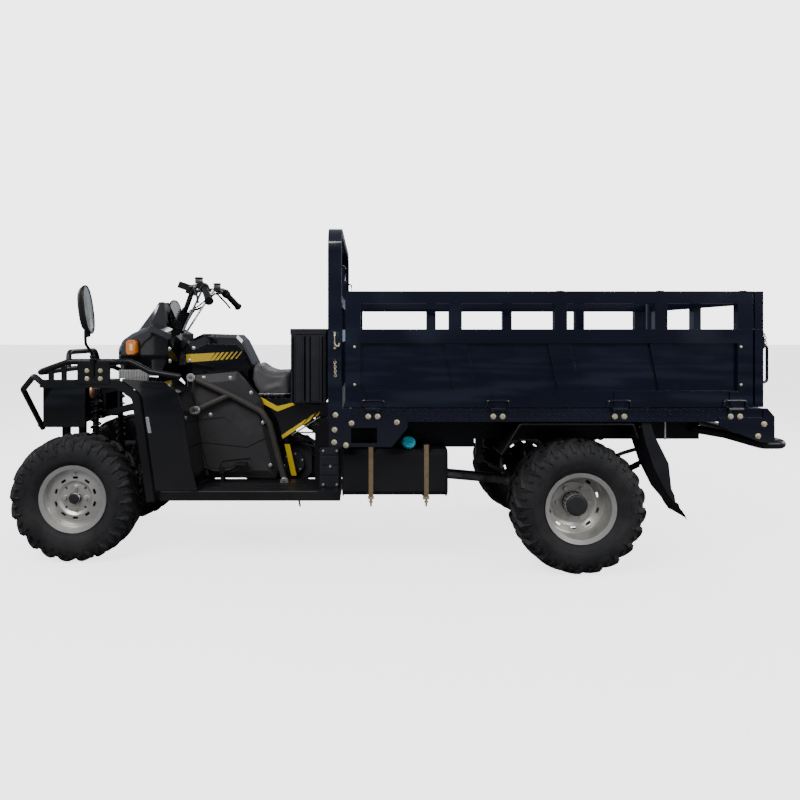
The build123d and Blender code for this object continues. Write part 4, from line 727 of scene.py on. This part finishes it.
joint = lathe([(0, -9), (8, -9), (9, -7), (9, 7), (8, 9), (0, 9)], 16).move(551, -261, 1371)
(perch + joint).both().piece("lever_perches", bare_steel, "steering", smooth=50)

COLUMN_TILT = np.radians(20.0)
COLUMN_DOWN = np.array([-np.sin(COLUMN_TILT), 0, -np.cos(COLUMN_TILT)])
COLUMN_HEAD = np.array([468.0, 0, 1366.0])
FOLDS = 9
s = np.linspace(0, 1, 85)
fold = 31 + 6.5 * np.cos(2 * np.pi * FOLDS * s) + 5 * s
bellows = tube(COLUMN_HEAD + np.outer(118 + 112 * s, COLUMN_DOWN), fold, 30, up=(0, 1, 0))
bellows.piece("column_bellows", flap_rubber, "steering", smooth=60)
# four cables from the switch box to the column, each a little forward of or below the last
looms = []
for k, (reach, drop, thick) in enumerate(((0.0, 0, 4.2), (9, -16, 3.4), (-11, -28, 3.8), (16, -6, 3.0))):
    knots = [(556 - k * 6, -250 + k * 12, 1372), (520 - k * 4, -212 + k * 8, 1352 + drop),
             (478 + reach, -146, 1300 + drop), (446 + reach, -78, 1262),
             (420 + reach * 0.5, -34 - 3 * k, 1190), (404 + reach * 0.3, -22 - 3 * k, 1150)]
    looms.append(tube(catmull(knots, 44), thick, 10, up=(0.3, 1, 0.2)))
joined(looms).both().piece("control_cables", flap_rubber, "steering", smooth=60)
STRUT = (556, -118, 1376), (430, -46, 1148)
strut = tube(STRUT, 6.0, 14, up=(0, 1, 0))
strut_end = along(*STRUT, lathe([(0, -6), (10, -6), (10, 12), (0, 12)], 16))
(strut + strut_end).both().piece("bar_stays", silver_bolt, "steering", smooth=50)

# the glass is only half metallic: its pale grey-green base colour is a painted reflection, the metallic half
# a real one
mirror_glass, shader, wire, where = new_finish(
    "mirror_glass", metallic=0.55, coat_weight=0.6, coat_roughness=0.03)
cloud = wire.noise(where, 9.0)
feed(wire, shader, base_color=cloud.mix((0.55, 0.58, 0.56), (0.66, 0.69, 0.67)),
     roughness=0.12 + cloud * 0.06)


def rounded(sections):
    """Dish across x from (x, half width, half height) rings: y and z are the half sizes times the
    signed 0.86th powers of cos a and sin a, which squares an ellipse a little."""
    a = np.linspace(0, 2 * np.pi, 56, endpoint=False)
    y, z = (np.sign(v) * np.abs(v) ** 0.86 for v in (np.cos(a), np.sin(a)))
    return skin([np.stack([np.full_like(a, x), w * y, h * z], axis=-1) for x, w, h in sections],
                wrap_v=True, caps=True)


MIRROR_X, MIRROR_Y, MIRROR_Z, MIRROR_TILT = 166, 701.0, 1240, 7.0
STEM_X, STEM_Y = 137, 556
shell = rounded([(-26, 3, 6), (-25, 26, 62), (-20, 42, 86), (-10, 54, 101), (4, 61, 111), (12, 63, 113),
                 (15, 62.5, 112.5), (16.5, 60, 110), (15.5, 57.5, 107.5), (12, 57, 107)])
ball = lathe([(0, -30), (11, -28), (14, -16), (12, 0), (0, 4)], 20).move(-6, 0, -96)
glass = rounded([(12.5, 57, 107), (14.0, 44, 82), (14.9, 24, 45), (15.2, 2, 4)])
boot = lathe([(0, 0), (12, 0), (15, 8), (11, 14), (14, 22), (10, 28), (12, 36), (8, 42), (0, 42)], 20)
foot = boot.move(z=1000) + lathe([(0, 0), (12, 0), (12, 12), (0, 12)], 6).move(z=990)
for hand, yaw in (("left", 4.0), ("right", -26.0)):
    side = SIDES[hand]
    stem_line = bent_line([(STEM_X, side * STEM_Y, 925), (STEM_X, side * STEM_Y, 1035),
                           (142, side * 645, 1082), (MIRROR_X, side * 705, 1112),
                           (MIRROR_X, side * 705, 1146)], 18)
    stem = tube(stem_line, 6.5, 16, up=(1, 0, 0))
    for name, form, finish, smooth in (("shell", shell + ball, mirror_black, 50),
                                       ("glass", glass, mirror_glass, 60)):
        head = form.turn("y", -MIRROR_TILT).turn("z", yaw).move(MIRROR_X, side * MIRROR_Y, MIRROR_Z)
        head.piece(f"mirror_{name}_{hand}", finish, smooth=smooth)
    (stem + foot.move(STEM_X, side * STEM_Y)).piece(f"mirror_stem_{hand}", mirror_black, smooth=50,
                                                    replaces=("mirrors",) if hand == "left" else ())


def out_to(name, places):
    """Where a line along y first meets the named solid from the left, at each (x, z)."""
    mesh = nodes[name].data
    tree = BVHTree.FromPolygons([v.co for v in mesh.vertices], [p.vertices for p in mesh.polygons])
    hits = [tree.ray_cast(((x - AXLE_TO_MIDDLE) / 1000, -2.0, z / 1000), (0, 1, 0))[0] for x, z in places]
    return [(x, hit.y * 1000, z) for (x, z), hit in zip(places, hits) if hit]


cover_screw = lathe([(0, -6), (4, -6), (4, 0), (11, 0), (11, 1.2), (9.5, 1.6), (9, 4.6), (7, 5.6), (0, 5.6)],
                    20).turn("x", 90)
SCREWS = {"side_panels": [(600, 900), (740, 900), (846, 822), (638, 711), (908, 667), (948, 448), (610, 420),
                          (560, 560)],
          "tank_cover": [(520, 1052), (500, 985)], "nose_cowl": [(405, 1050), (404, 985)]}
screws = joined(cover_screw.at(out_to(name, places)) for name, places in SCREWS.items())
screws.both().piece("cover_screws", silver_bolt, smooth=35, weld=False)
plate_bolts = hex_bolt(17, 7, 23).turn("x", 90).at([(x, -549.2, z) for x in (108, 172) for z in (915, 953)])
plate_bolts.both().piece("guard_bolts", bolt_zinc, smooth=25)

# ring bolts that hold the side guards: a boss with a recessed six-sided socket
boss = lathe([(0, 0), (20, 0), (22, 2), (22, 9), (19, 12), (14, 12), (12, 8), (0, 8)], 32).turn("x", 90)
socket = lathe([(9, 7.6), (9, 11), (5, 11), (5, 9), (0, 9)], 6).turn("x", 90)
rings = [(547, -322, 905), (573, -322, 738), (1026, -322, 372)]
boss.at(rings).both().piece("guard_bosses", silver_bolt, smooth=35)
socket.at([(x, y - 0.2, z) for x, y, z in rings]).both().piece(
    "guard_sockets", bare_steel, smooth=25, weld=False)

# Lamps
# Headlamp with two chromed reflectors in a chromed frame, amber indicators with a painted highlight (a pale
# patch on each lens's face), and a pale reflector strip on each fender.

chrome = metal("chrome", (0.80, 0.81, 0.82), (0.70, 0.71, 0.73), 0.08, 30.0)
bowl = lathe([(34, 0), (34.5, 2), (30, 6), (20, 15), (8, 20), (0, 20.5)], 36)
bulb = lathe([(0, 4), (5, 5), (6, 9), (6, 20), (0, 20)], 16)
pair = (bowl + bulb).turn("y", 90).at([(86.5, y, 1021) for y in (-42, 42)])
pair.piece("headlamp_bowls", chrome, smooth=45)
RIM_DEPTH = np.array([4, 0, 0])
inner = np.array([(91.5, -84, 999), (91.5, -71, 986), (91.5, 71, 986), (91.5, 84, 999), (91.5, 84, 1044),
                  (91.5, 71, 1057), (91.5, -71, 1057), (91.5, -84, 1044)])
outer = inner * [1, 1.05, 1]
skin([inner, outer, outer - RIM_DEPTH, inner - RIM_DEPTH], wrap_u=True, wrap_v=True).piece(
    "headlamp_rim", chrome, smooth=30)
lens_face = plate([(196, 1024), (206, 1022), (232, 1022), (242, 1028), (242, 1090), (234, 1096), (206, 1096),
                   (196, 1088)], (-264, -270))
lens_face.both().piece("indicator_lenses", amber_lens, smooth=30, bevel=2)
# painted highlight: a pale cream patch laid on the outside of each amber lens, standing for its glint
painted_glint = plate([(212, 1042), (228, 1042), (228, 1078), (212, 1078)], (-269.4, -271))
indicator_glint_paint, shader, wire, where = new_finish("indicator_glint_paint", coat_weight=1.0)
cloud = wire.noise(where, 60.0)
feed(wire, shader, base_color=cloud.mix((0.95, 0.55, 0.22), (0.98, 0.72, 0.40)), roughness=0.2 + cloud * 0.1)
painted_glint.both().piece("indicator_painted_glints", indicator_glint_paint, smooth=30, bevel=0.6)

pale_lens = lens("pale_lens", (0.30, 0.30, 0.31), 0.2, 500.0)
reflector_y = out_to("front_fenders", [(394, 690)])[0][1]
reflector = plate([(380, 727), (396, 729), (410, 652), (393, 650)], (reflector_y + 1, reflector_y - 3))
reflector.both().piece("fender_reflectors", pale_lens, smooth=30, bevel=1)

# Seat
# Foam pad under grained vinyl, swollen a little by its filling. The shape starts from the plain seat
# solid, slightly smaller, and is blown up as cloth. A steel bead runs low along each side.

seat_vinyl, shader, wire, where = new_finish("seat_vinyl", specular_ior_level=0.35)
leather = wire.node("ShaderNodeTexVoronoi", {"feature": "SMOOTH_F1"}, {"Vector": where, "Scale": 520.0})
cloud = wire.noise(where, 8.0, 4.0, 0.6)
feed(wire, shader, base_color=cloud.between(0.3, 0.75).mix((0.070, 0.066, 0.068), (0.090, 0.085, 0.088)),
     roughness=0.46 + cloud * 0.12, height=leather, strength=0.22, reach=0.0005)


PRESSURE, STEPS, FLAT_BASE = 4.0, 20, 0.02


def corners(mesh):
    """A mesh's vertices as an array of (x, y, z), in metres."""
    xyz = np.empty(len(mesh.vertices) * 3)
    mesh.vertices.foreach_get("co", xyz)
    return xyz.reshape(-1, 3)


def blown(name, source, finish, shrink, voxel, cap):
    """Padded copy of a solid: merged, shrunk towards its middle, remeshed to even voxels, swollen as
    cloth with gravity off, and no point left more than `cap` from where it started. The lowest
    FLAT_BASE of its height swells less, down to nothing at the base."""
    mesh = source.data.copy()
    pad = bpy.data.objects.new(name, mesh)
    bpy.context.scene.collection.objects.link(pad)
    work = bmesh.new()
    work.from_mesh(mesh)
    bmesh.ops.remove_doubles(work, verts=work.verts, dist=2e-5)
    bmesh.ops.recalc_face_normals(work, faces=work.faces)
    work.to_mesh(mesh)
    work.free()
    xyz = corners(mesh)
    low, high = xyz.min(axis=0), xyz.max(axis=0)
    middle = (low + high) / 2
    middle[2] = low[2]
    xyz = middle + (xyz - middle) * shrink
    mesh.vertices.foreach_set("co", xyz.ravel())
    mesh.materials.clear()
    mesh.materials.append(finish)
    even = pad.modifiers.new("even", "REMESH")
    even.mode, even.voxel_size = "VOXEL", voxel
    bpy.context.view_layer.objects.active = pad
    with bpy.context.temp_override(object=pad, active_object=pad, selected_objects=[pad]):
        bpy.ops.object.modifier_apply(modifier="even")
    mesh = pad.data
    start = corners(mesh)
    cloth = pad.modifiers.new("swell", "CLOTH")
    cloth.settings.use_pressure = True
    cloth.settings.uniform_pressure_force = PRESSURE
    cloth.settings.effector_weights.gravity = 0.0
    cloth.settings.quality = 5
    cloth.point_cache.frame_start, cloth.point_cache.frame_end = 1, STEPS
    for step in range(1, STEPS + 1):
        bpy.context.scene.frame_set(step)
    end = corners(pad.evaluated_get(bpy.context.evaluated_depsgraph_get()).data)
    pad.modifiers.remove(cloth)
    bpy.context.scene.frame_set(1)
    way = end - start
    length = np.linalg.norm(way, axis=1, keepdims=True)
    way *= np.minimum(1.0, cap / np.maximum(length, 1e-9))
    flat = np.clip((start[:, 2:] - low[2]) / FLAT_BASE, 0, 1)
    mesh.vertices.foreach_set("co", (start + way * flat).ravel())
    mesh.update()
    even_out = pad.modifiers.new("even_out", "SMOOTH")
    even_out.factor, even_out.iterations = 0.5, 14
    fine = pad.modifiers.new("smooth", "SUBSURF")
    fine.levels = fine.render_levels = 1
    mesh.polygons.foreach_set("use_smooth", [True] * len(mesh.polygons))
    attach(pad, "vehicle")
    return pad


# metres, as Blender has them
seat_pad = blown("seat_pad", nodes["seat"], seat_vinyl, shrink=0.985, voxel=0.006, cap=0.006)
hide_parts("seat")
trim = tube([(866, -146, 807), (1036, -146, 807)], 3.2, 10)
trim.both().piece("seat_trim", bare_steel, smooth=60)

# Front suspension and bay
# Coil springs of round wire round black dampers, the copper coloured horn on its arm behind the
# grille, and a pale ribbed vent cover under each side of the rack.

SHOCK_FOOT = np.array([0.0, -215.0, 237.0])
SHOCK_HEAD = np.array([0.0, -165.0, 800.0])
reach = np.linalg.norm(SHOCK_HEAD - SHOCK_FOOT)
# wire line of the coil: (R cos a, R sin a, an even climb) for COILS turns of a
COILS, COIL_R, COIL_LOW, COIL_HIGH = 9, 24, 186, reach - 40
t = np.linspace(0, 1, COILS * 22 + 1)
a = 2 * np.pi * COILS * t
climb = COIL_LOW + (COIL_HIGH - COIL_LOW) * t
coil = tube(np.stack([COIL_R * np.cos(a), COIL_R * np.sin(a), climb], axis=-1), 4.6, 10)
perches = lathe([(0, 178), (30, 178), (31, 180), (31, 184), (0, 184)], 30) + lathe(
    [(0, COIL_HIGH), (29, COIL_HIGH), (29, COIL_HIGH + 6), (20, COIL_HIGH + 16), (0, COIL_HIGH + 16)], 30)
tower = lathe([(0, -6), (13, -6), (13, 30), (20, 34), (20, 300), (21, 302), (21, 312), (12, 316),
               (0, 316)], 26)
rod_up = lathe([(0, 300), (16, 300), (16, reach), (0, reach)], 18)
eyes = lathe([(0, -14), (16, -14), (16, 14), (0, 14)], 22).turn("x", 90)
bushes = eyes + eyes.move(0, 0, reach)
for name, form, finish, smooth in (("coils", coil, frame_black, 60),
                                   ("dampers", perches + tower + bushes, tank_black, 40),
                                   ("damper_rods", rod_up, frame_black, 50)):
    one = along(SHOCK_FOOT, SHOCK_HEAD, form)
    one.both().piece(f"front_{name}", finish, smooth=smooth, weld=False,
                     replaces=("front_shocks",) if name == "coils" else ())

copper = metal("copper", (0.72, 0.38, 0.20), (0.50, 0.25, 0.14), 0.3, 40.0)
horn = lathe([(0, 0), (36, 0), (40, 4), (40, 12), (34, 18), (14, 22), (10, 34), (0, 34)], 30).turn("y", 90)
horn.move(-18, -185, 824).piece("horn", copper, smooth=40)
horn_arm = slab((8, 34), (-192, -178), (812, 836)) + slab((26, 34), (-192, -178), (812, 892))
horn_arm.piece("horn_arm", frame_black, smooth=30, bevel=1)
pale_shield = moulding("pale_shield", (0.26, 0.26, 0.25), 300.0, 0.5, edge=0.001)
FIN_XS = range(155, 300, 14)
fin = slab((0, 7), (-264, -256), (899, 939))
vents = slab((151, 303), (-259, -229), (897, 941)) + fin.at([(x, 0, 0) for x in FIN_XS])
vents.both().piece("rack_vents", pale_shield, smooth=30, bevel=1, weld=False)

# Stripes, rods and pedal
# Yellow moulded trims on the fairings, steel brake rods behind the left one, and a foot pedal of bent
# rod on a cross pivot over each running board.

v_trim = plate([(852, 786), (977, 719), (1071, 755), (1059, 767), (977, 747), (880, 801), (852, 801)],
               (-220, -224))
slant = plate([(1013, 546), (1041, 546), (1078, 380), (1050, 380)], (-214, -219))
(v_trim + slant).both().piece("yellow_trims", stripe_yellow, smooth=25, bevel=0.6, weld=False)
slant_back = plate([(1016, 540), (1032, 540), (1024, 600), (1008, 600)], (-207, -216))
slant_back += slab((1050, 1072), (-216, -84), (388, 404))
slant_back.both().piece("trim_brackets", frame_black, smooth=30)
RODS = (((1052, -214, 594), (1226, -214, 704)), ((1040, -200, 604), (1236, -196, 606)),
        ((1068, -190, 640), (1230, -150, 736)))
rod_nut = lathe([(0, 0), (8, 0), (8, 12), (0, 12)], 6)
rods = joined(tube(ends, 4.2, 10) + along(*ends, rod_nut) for ends in RODS)
rods.piece("brake_rods", bare_steel, smooth=50, weld=False)
pedal = tube(bent_line([(561, -296, 711), (570, -300, 640), (582, -300, 556), (613, -300, 448),
                        (625, -300, 400)], 40), 11, 16, up=(0, 1, 0))
lever = tube(bent_line([(565, -306, 465), (663, -306, 422), (745, -306, 427), (806, -306, 462)], 24),
             8, 14, up=(0, 1, 0))
foot_pad = slab((776, 838), (-352, -300), (455, 469))
pivot = lathe([(0, 0), (15, 0), (15, 34), (0, 34)], 24).turn("x", 90).move(704, -288, 424)
hanger = slab((696, 712), (-312, -262), (366, 430))
(pedal + lever + pivot + hanger).both().piece("pedals", tank_black, smooth=50, weld=False)
foot_pad.both().piece("pedal_pads", flap_rubber, smooth=30, bevel=3)

# Engine dressing
# Bolts round the engine's covers, screws on the battery box, rubber hoses between the engine and its
# neighbours, and an oil filler with a grip bar.

cover_bolts = hex_bolt(10, 6, 13).turn("x", 90)


def circle(x, z, y, r, n):
    """Places at equal angles round a centre in the plane square to y."""
    a = np.arange(n) * 2 * np.pi / n + 0.3
    return np.stack([x + r * np.cos(a), np.full(n, float(y)), z + r * np.sin(a)], axis=-1)


studs = cover_bolts.at(np.vstack([circle(885, 440, -148, 78, 8), circle(1052, 432, -140, 50, 6)]))
studs.both().piece("engine_bolts", silver_bolt, smooth=25, weld=False)
BATTERY_SCREWS = ((1232, 548), (1300, 548), (1232, 380), (1300, 380), (1268, 470))
fittings = cover_bolts.at([(x, -432, z) for x, z in BATTERY_SCREWS])
fittings.piece("battery_screws", silver_bolt, smooth=25, weld=False)
HOSES = (([(860, -60, 716), (840, -96, 742), (760, -120, 730), (690, -96, 640), (660, -40, 560)], 9),
         ([(900, -70, 690), (968, -150, 664), (1060, -176, 606), (1160, -170, 560), (1228, -246, 520)], 7),
         ([(1010, -90, 508), (1090, -150, 540), (1180, -190, 520), (1226, -246, 470)], 5),
         ([(1120, -80, 500), (1170, -140, 470), (1214, -250, 440)], 6))
hoses = joined(tube(catmull(knots, 36), r, 12, up=(0.1, 0.2, 1)) for knots, r in HOSES)
hoses.piece("engine_hoses", flap_rubber, smooth=60, weld=False)
filler = lathe([(0, -8), (22, -8), (22, 6), (26, 8), (26, 18), (22, 22), (0, 22)], 30).move(1120, -40, 505)
grip_bars = slab((1098, 1142), (-44, -36), (524, 532))
(filler + grip_bars).piece("oil_filler", mirror_black, smooth=35)

# Fuel tank
# The cap has finger grips, the straps are drawn up by T-bolts and nuts under the tank, and a rolled
# seam runs round each end of the tank.

neck = lathe([(0, 0), (30.5, 0), (32, 2), (32, 14), (29, 17), (0, 17)], 40)
grips = slab((29, 34), (-3, 3), (2, 14)).ring(14)
handle = slab((-22, 22), (-5, 5), (15, 23))
cap_new = (neck + grips + handle).turn("x", 45).move(1651, -524, 600)
cap_new.piece("cap_grips", cap_turquoise, smooth=35, bevel=1, slot="cap_turquoise", replaces=("fuel_cap",))
STRAP_ENDS = [(x, y, 356) for x in (1469, 1734) for y in (-552, -410)]
t_bolt = joined([lathe([(0, -52), (5, -52), (5, 14), (0, 14)], 14), slab((-15, 15), (-7, 7), (-12, -4)),
                 lathe([(0, -34), (9.5, -34), (9.5, -25), (0, -25)], 6)])
t_bolt.at(STRAP_ENDS).piece("strap_bolts", bolt_zinc, smooth=25, weld=False)
slab((-13, 13), (-14, 14), (-16, -12)).at(STRAP_ENDS).piece("strap_ends", strap_zinc, smooth=25)
seam_line = bent_line([(0, -480, 354.5), (0, -558, 354.5), (0, -561.5, 360), (0, -561.5, 572),
                       (0, -556, 577.5), (0, -404, 577.5), (0, -398.5, 572), (0, -398.5, 360),
                       (0, -404, 354.5), (0, -480, 354.5)], 4)
seam = tube(seam_line[:-1], 2.6, 8, up=(1, 0, 0))
seam.at([(1336, 0, 0), (1829, 0, 0)]).piece("tank_seams", tank_black, smooth=60)

# Rear end
# U-bolts and plates over the leaf springs, stiffening beads on the mudguards, ragged rubber flaps with
# their bolts and stays, lamp lenses, a brake pipe along the axle and its hose to the frame.

# (x behind the rear axle, z)
FLAP = ((291, 720), (313, 620), (353, 500), (413, 380), (500, 276), (505, 262), (486, 300), (478, 296),
        (470, 330), (455, 340), (450, 372), (436, 400), (423, 520), (353, 660), (335, 720))
flap = plate([(WHEELBASE + x, z) for x, z in FLAP], (-430, -610))
flap.both().piece("ragged_flaps", flap_rubber, smooth=25, bevel=1.5, replaces=("mud_flaps",))
SPRING_Y = 360.0
u_bolt = tube(bent_line([(0, -22, -52), (0, -22, 96), (0, 22, 96), (0, 22, -52)], 12), 6, 12, up=(1, 0, 0))
u_nuts = lathe([(0, 0), (10, 0), (10, 9), (0, 9)], 6).at([(0, -22, -52), (0, 22, -52)])
plate_under = slab((-52, 52), (-36, 36), (-52, -43))
clips = [(WHEELBASE + d, y, TYRE_R) for d in (-34, 34) for y in (-SPRING_Y, SPRING_Y)]
(u_bolt + u_nuts).at(clips).piece("u_bolts", bare_steel, smooth=50, weld=False)
plate_under.move(WHEELBASE, -SPRING_Y, TYRE_R).both().piece("spring_plates", frame_black, smooth=30, bevel=1)
flap_bolts = hex_bolt(11, 5, 15).turn("y", -90).at([(WHEELBASE + 299, y, 690) for y in (-580, -520, -462)])
flap_bolts.both().piece("flap_bolts", bolt_zinc, smooth=25, weld=False)
bead = tube(bent_line([(2082, 0, 563), (2170, 0, 705), (2700, 0, 705), (2722, 0, 640)], 10), 5, 10,
            up=(0, 1, 0))
bead.at([(0, -404, 0), (0, -615, 0)]).both().piece("mudguard_beads", tank_black, smooth=60)
stay = tube(bent_line([(2660, -500, 536), (2700, -500, 552), (2770, -500, 572)], 10), 9, 14, up=(0, 1, 0))
stay_foot = slab((2640, 2668), (-520, -480), (528, 546))
(stay + stay_foot).both().piece("flap_stays", frame_black, smooth=50)
pin = tube([(2861, -590, 722), (2861, -590, 630)], 4, 10, up=(1, 0, 0))
pin.both().piece("safety_pins", silver_bolt, smooth=50)
for name, finish, across in (("tail_lenses", red_lens, (-586, -540)),
                             ("tail_turn_lenses", amber_lens, (-536, -512)),
                             ("tail_white_lenses", clear_lens, (-508, -484))):
    slab((3338, 3343), across, (734, 764)).both().piece(name, finish, smooth=30, bevel=2)
pipe_line = catmull([(2400, -300, 360), (2402, -180, 358), (2392, -60, 372), (2380, 0, 424), (2392, 60, 372),
                     (2402, 180, 358), (2400, 300, 360)], 60)
tube(pipe_line, 3.2, 8, up=(1, 0, 0)).piece("brake_pipe", strap_zinc, smooth=60)
hose_line = catmull([(2380, 0, 424), (2340, -20, 500), (2260, -60, 560), (2200, -120, 640),
                     (2190, -200, 700)], 40)
hose = tube(hose_line, 6, 10, up=(0, 1, 0.1))
hose.piece("rear_brake_hose", flap_rubber, smooth=60)

# Footboards, tool box, and bed floor
# Running boards have pressed ribs, a rolled outer edge and a drain tube. The tool box has banded sides,
# a rolled lid edge and two catches. The bed floor's sheet has pressed ribs along it.

rib = slab((470, 1190), (-4, 4), (0, 3.2))
ribs = rib.at([(0, y, 367.6) for y in (-486, -452, -418, -384, -350)])
ribs.both().piece("board_ribs", frame_black, smooth=30, bevel=1.2, weld=False)
edge_roll = tube([(452, -519, 366), (1211, -519, 366)], 3.2, 10)
edge_roll.both().piece("board_edges", guard_grey, smooth=60)
hanging = tube([(1114, -470, 324), (1122, -470, 282)], 4.5, 10, up=(0, 1, 0))
hanging.piece("drain_tube", flap_rubber, smooth=60)
lid_edge = tube([(1058, -301, 1131), (1234, -301, 1131)], 3.4, 10)
lid_edge.both().piece("lid_seams", box_grey, "tool_box_lid", smooth=60)
band = slab((0, 9), (-303, -299), (778, 1122)).at([(x, 0, 0) for x in (1064, 1108, 1124, 1152, 1196, 1216)])
band.both().piece("box_bands", box_grey, smooth=30, bevel=1.2, weld=False)
catch = slab((1049, 1057), (-24, 24), (1066, 1122)) + slab((1046, 1052), (-15, 15), (1074, 1114))
catch.at([(0, y, 0) for y in (-170, 170)]).piece(
    "box_catches", bare_steel, smooth=30, bevel=1.5, weld=False)
bracket = slab((1206, 1266), (-292, -276), (700, 776)) + slab((1319, 1329), (-452, -384), (420, 612))
bracket.piece("mount_plates", frame_black, smooth=30, bevel=1.5)
# section of a rib across the floor, (y, rise), laid along x and let down at both ends
RIB_Y, RIB_RISE = np.array([-26, -20, -6, 6, 20, 26.0]), np.array([0.0, 0.2, 2.6, 2.6, 0.2, 0.0])
FLOOR_Z = 783
pressing = skin([np.stack([np.full(6, x), RIB_Y, FLOOR_Z + rise * RIB_RISE], axis=-1)
                 for x, rise in ((1362.0, 0.02), (1372.0, 1), (3232.0, 1), (3242.0, 0.02))])
pressing.at([(0, y, 0) for y in range(-520, 521, 104)]).piece(
    "floor_pressings", bed_paint, smooth=50, weld=False)


# Floor, lamps and camera
# Plain pale studio: a wide floor, an even pale surround, six soft boxes, and the photograph's view
# square to the left side from 3.76 m, 1.135 m up.

FLOOR_HALF = 60.0
floor_pale, shader, wire, where = new_finish(
    "floor_pale", emission_color=(1.0, 1.0, 1.0), emission_strength=2.3)
cloud = wire.noise(where, 3.0)
feed(wire, shader, base_color=cloud.mix((0.80, 0.80, 0.81), (0.83, 0.83, 0.84)), roughness=0.75 + cloud * 0.1)
# seen directly the floor is pale; what it throws back onto the vehicle is a duller grey
ground = wire.node("ShaderNodeBsdfDiffuse", {}, {"Color": (0.16, 0.16, 0.17, 1)})
gleam = wire.node("ShaderNodeEmission", {}, {"Color": (0.30, 0.37, 0.50, 1), "Strength": 0.8})
patches = wire.noise(where, 0.42, 2.0).between(0.5, 0.58) * where.axis(1).between(-5.0, -9.0)
dull = wire.node("ShaderNodeMixShader", {}, {0: patches, 1: ground, 2: gleam})
paper = wire.node("ShaderNodeMixShader", {}, {0: wire.node("ShaderNodeLightPath"), 1: dull})
wire.tree.links.new(shader.outputs[0], paper.out.node.inputs[2])
wire.tree.links.new(paper.out, wire.tree.nodes["Material Output"].inputs["Surface"])
floor_mesh = bpy.data.meshes.new("floor")
ends = (-FLOOR_HALF, FLOOR_HALF)
floor_mesh.from_pydata([(x, y, 0.0) for x in ends for y in ends], [], [[0, 2, 3, 1]])
floor_mesh.materials.append(floor_pale)
floor = bpy.data.objects.new("floor", floor_mesh)
bpy.context.scene.collection.objects.link(floor)

# the paper sweep is white to the eye; what the paint mirrors is a dim room, lighter overhead
surround = bpy.data.worlds.new("surround")
surround.use_nodes = True
sky = Wire(surround.node_tree)
way = sky.node("ShaderNodeTexCoord")
height = way.axis(2)
room = height.between(-0.1, 0.75).mix((0.05, 0.055, 0.065), (0.40, 0.42, 0.47))
patch = sky.noise(way, 8.0, 2.0, 0.5).between(0.5, 0.6) * (1 - height.between(0.0, 0.3))
room = (patch * 0.8).mix(room, (0.34, 0.42, 0.56))
dim = sky.node("ShaderNodeBackground", {}, {"Color": room, "Strength": 0.95})
white = sky.node("ShaderNodeBackground", {}, {"Color": (1, 1, 1, 1), "Strength": 4.0})
both = sky.node("ShaderNodeMixShader", {}, {0: sky.node("ShaderNodeLightPath"), 1: dim, 2: white})
sky.tree.links.new(both.out, sky.tree.nodes["World Output"].inputs["Surface"])
bpy.context.scene.world = surround

# name, place, target, width, height, power
BOXES = (
    ("key", (-2.5, -4.5, 5.0), (0.2, 0, 0.6), 4.0, 2.5, 340),
    ("fill", (4.5, -4.0, 3.0), (0.5, 0, 0.7), 3.0, 2.0, 160),
    ("rim", (1.0, 5.0, 4.5), (0.0, 0, 0.8), 5.0, 2.0, 160),
    ("strip_left", (-3.6, -6.5, 0.9), (0.2, 0, 0.9), 0.7, 2.6, 5),
    ("tail", (6.5, 0.5, 2.4), (1.5, 0, 0.8), 3.0, 2.0, 130),
    ("nose", (-6.0, 1.5, 2.6), (-1.5, 0, 0.8), 2.5, 2.0, 90),
)
for name, place, target, width, height, power in BOXES:
    light = bpy.data.lights.new(name, "AREA")
    light.shape, light.size, light.size_y, light.energy = "RECTANGLE", width, height, power
    lamp = bpy.data.objects.new(name, light)
    bpy.context.scene.collection.objects.link(lamp)
    lamp.location = place
    lamp.rotation_euler = (Vector(target) - Vector(place)).to_track_quat("-Z", "Y").to_euler()

lens_data = bpy.data.cameras.new("photo_view")
lens_data.sensor_width, lens_data.lens = 36.0, 30.15
lens_data.shift_x, lens_data.shift_y = 0.04, -0.084
camera = bpy.data.objects.new("photo_view", lens_data)
bpy.context.scene.collection.objects.link(camera)
camera.location = (-0.1085, -3.761, 1.135)
camera.rotation_euler = (np.pi / 2, 0, 0)
bpy.context.scene.camera = camera
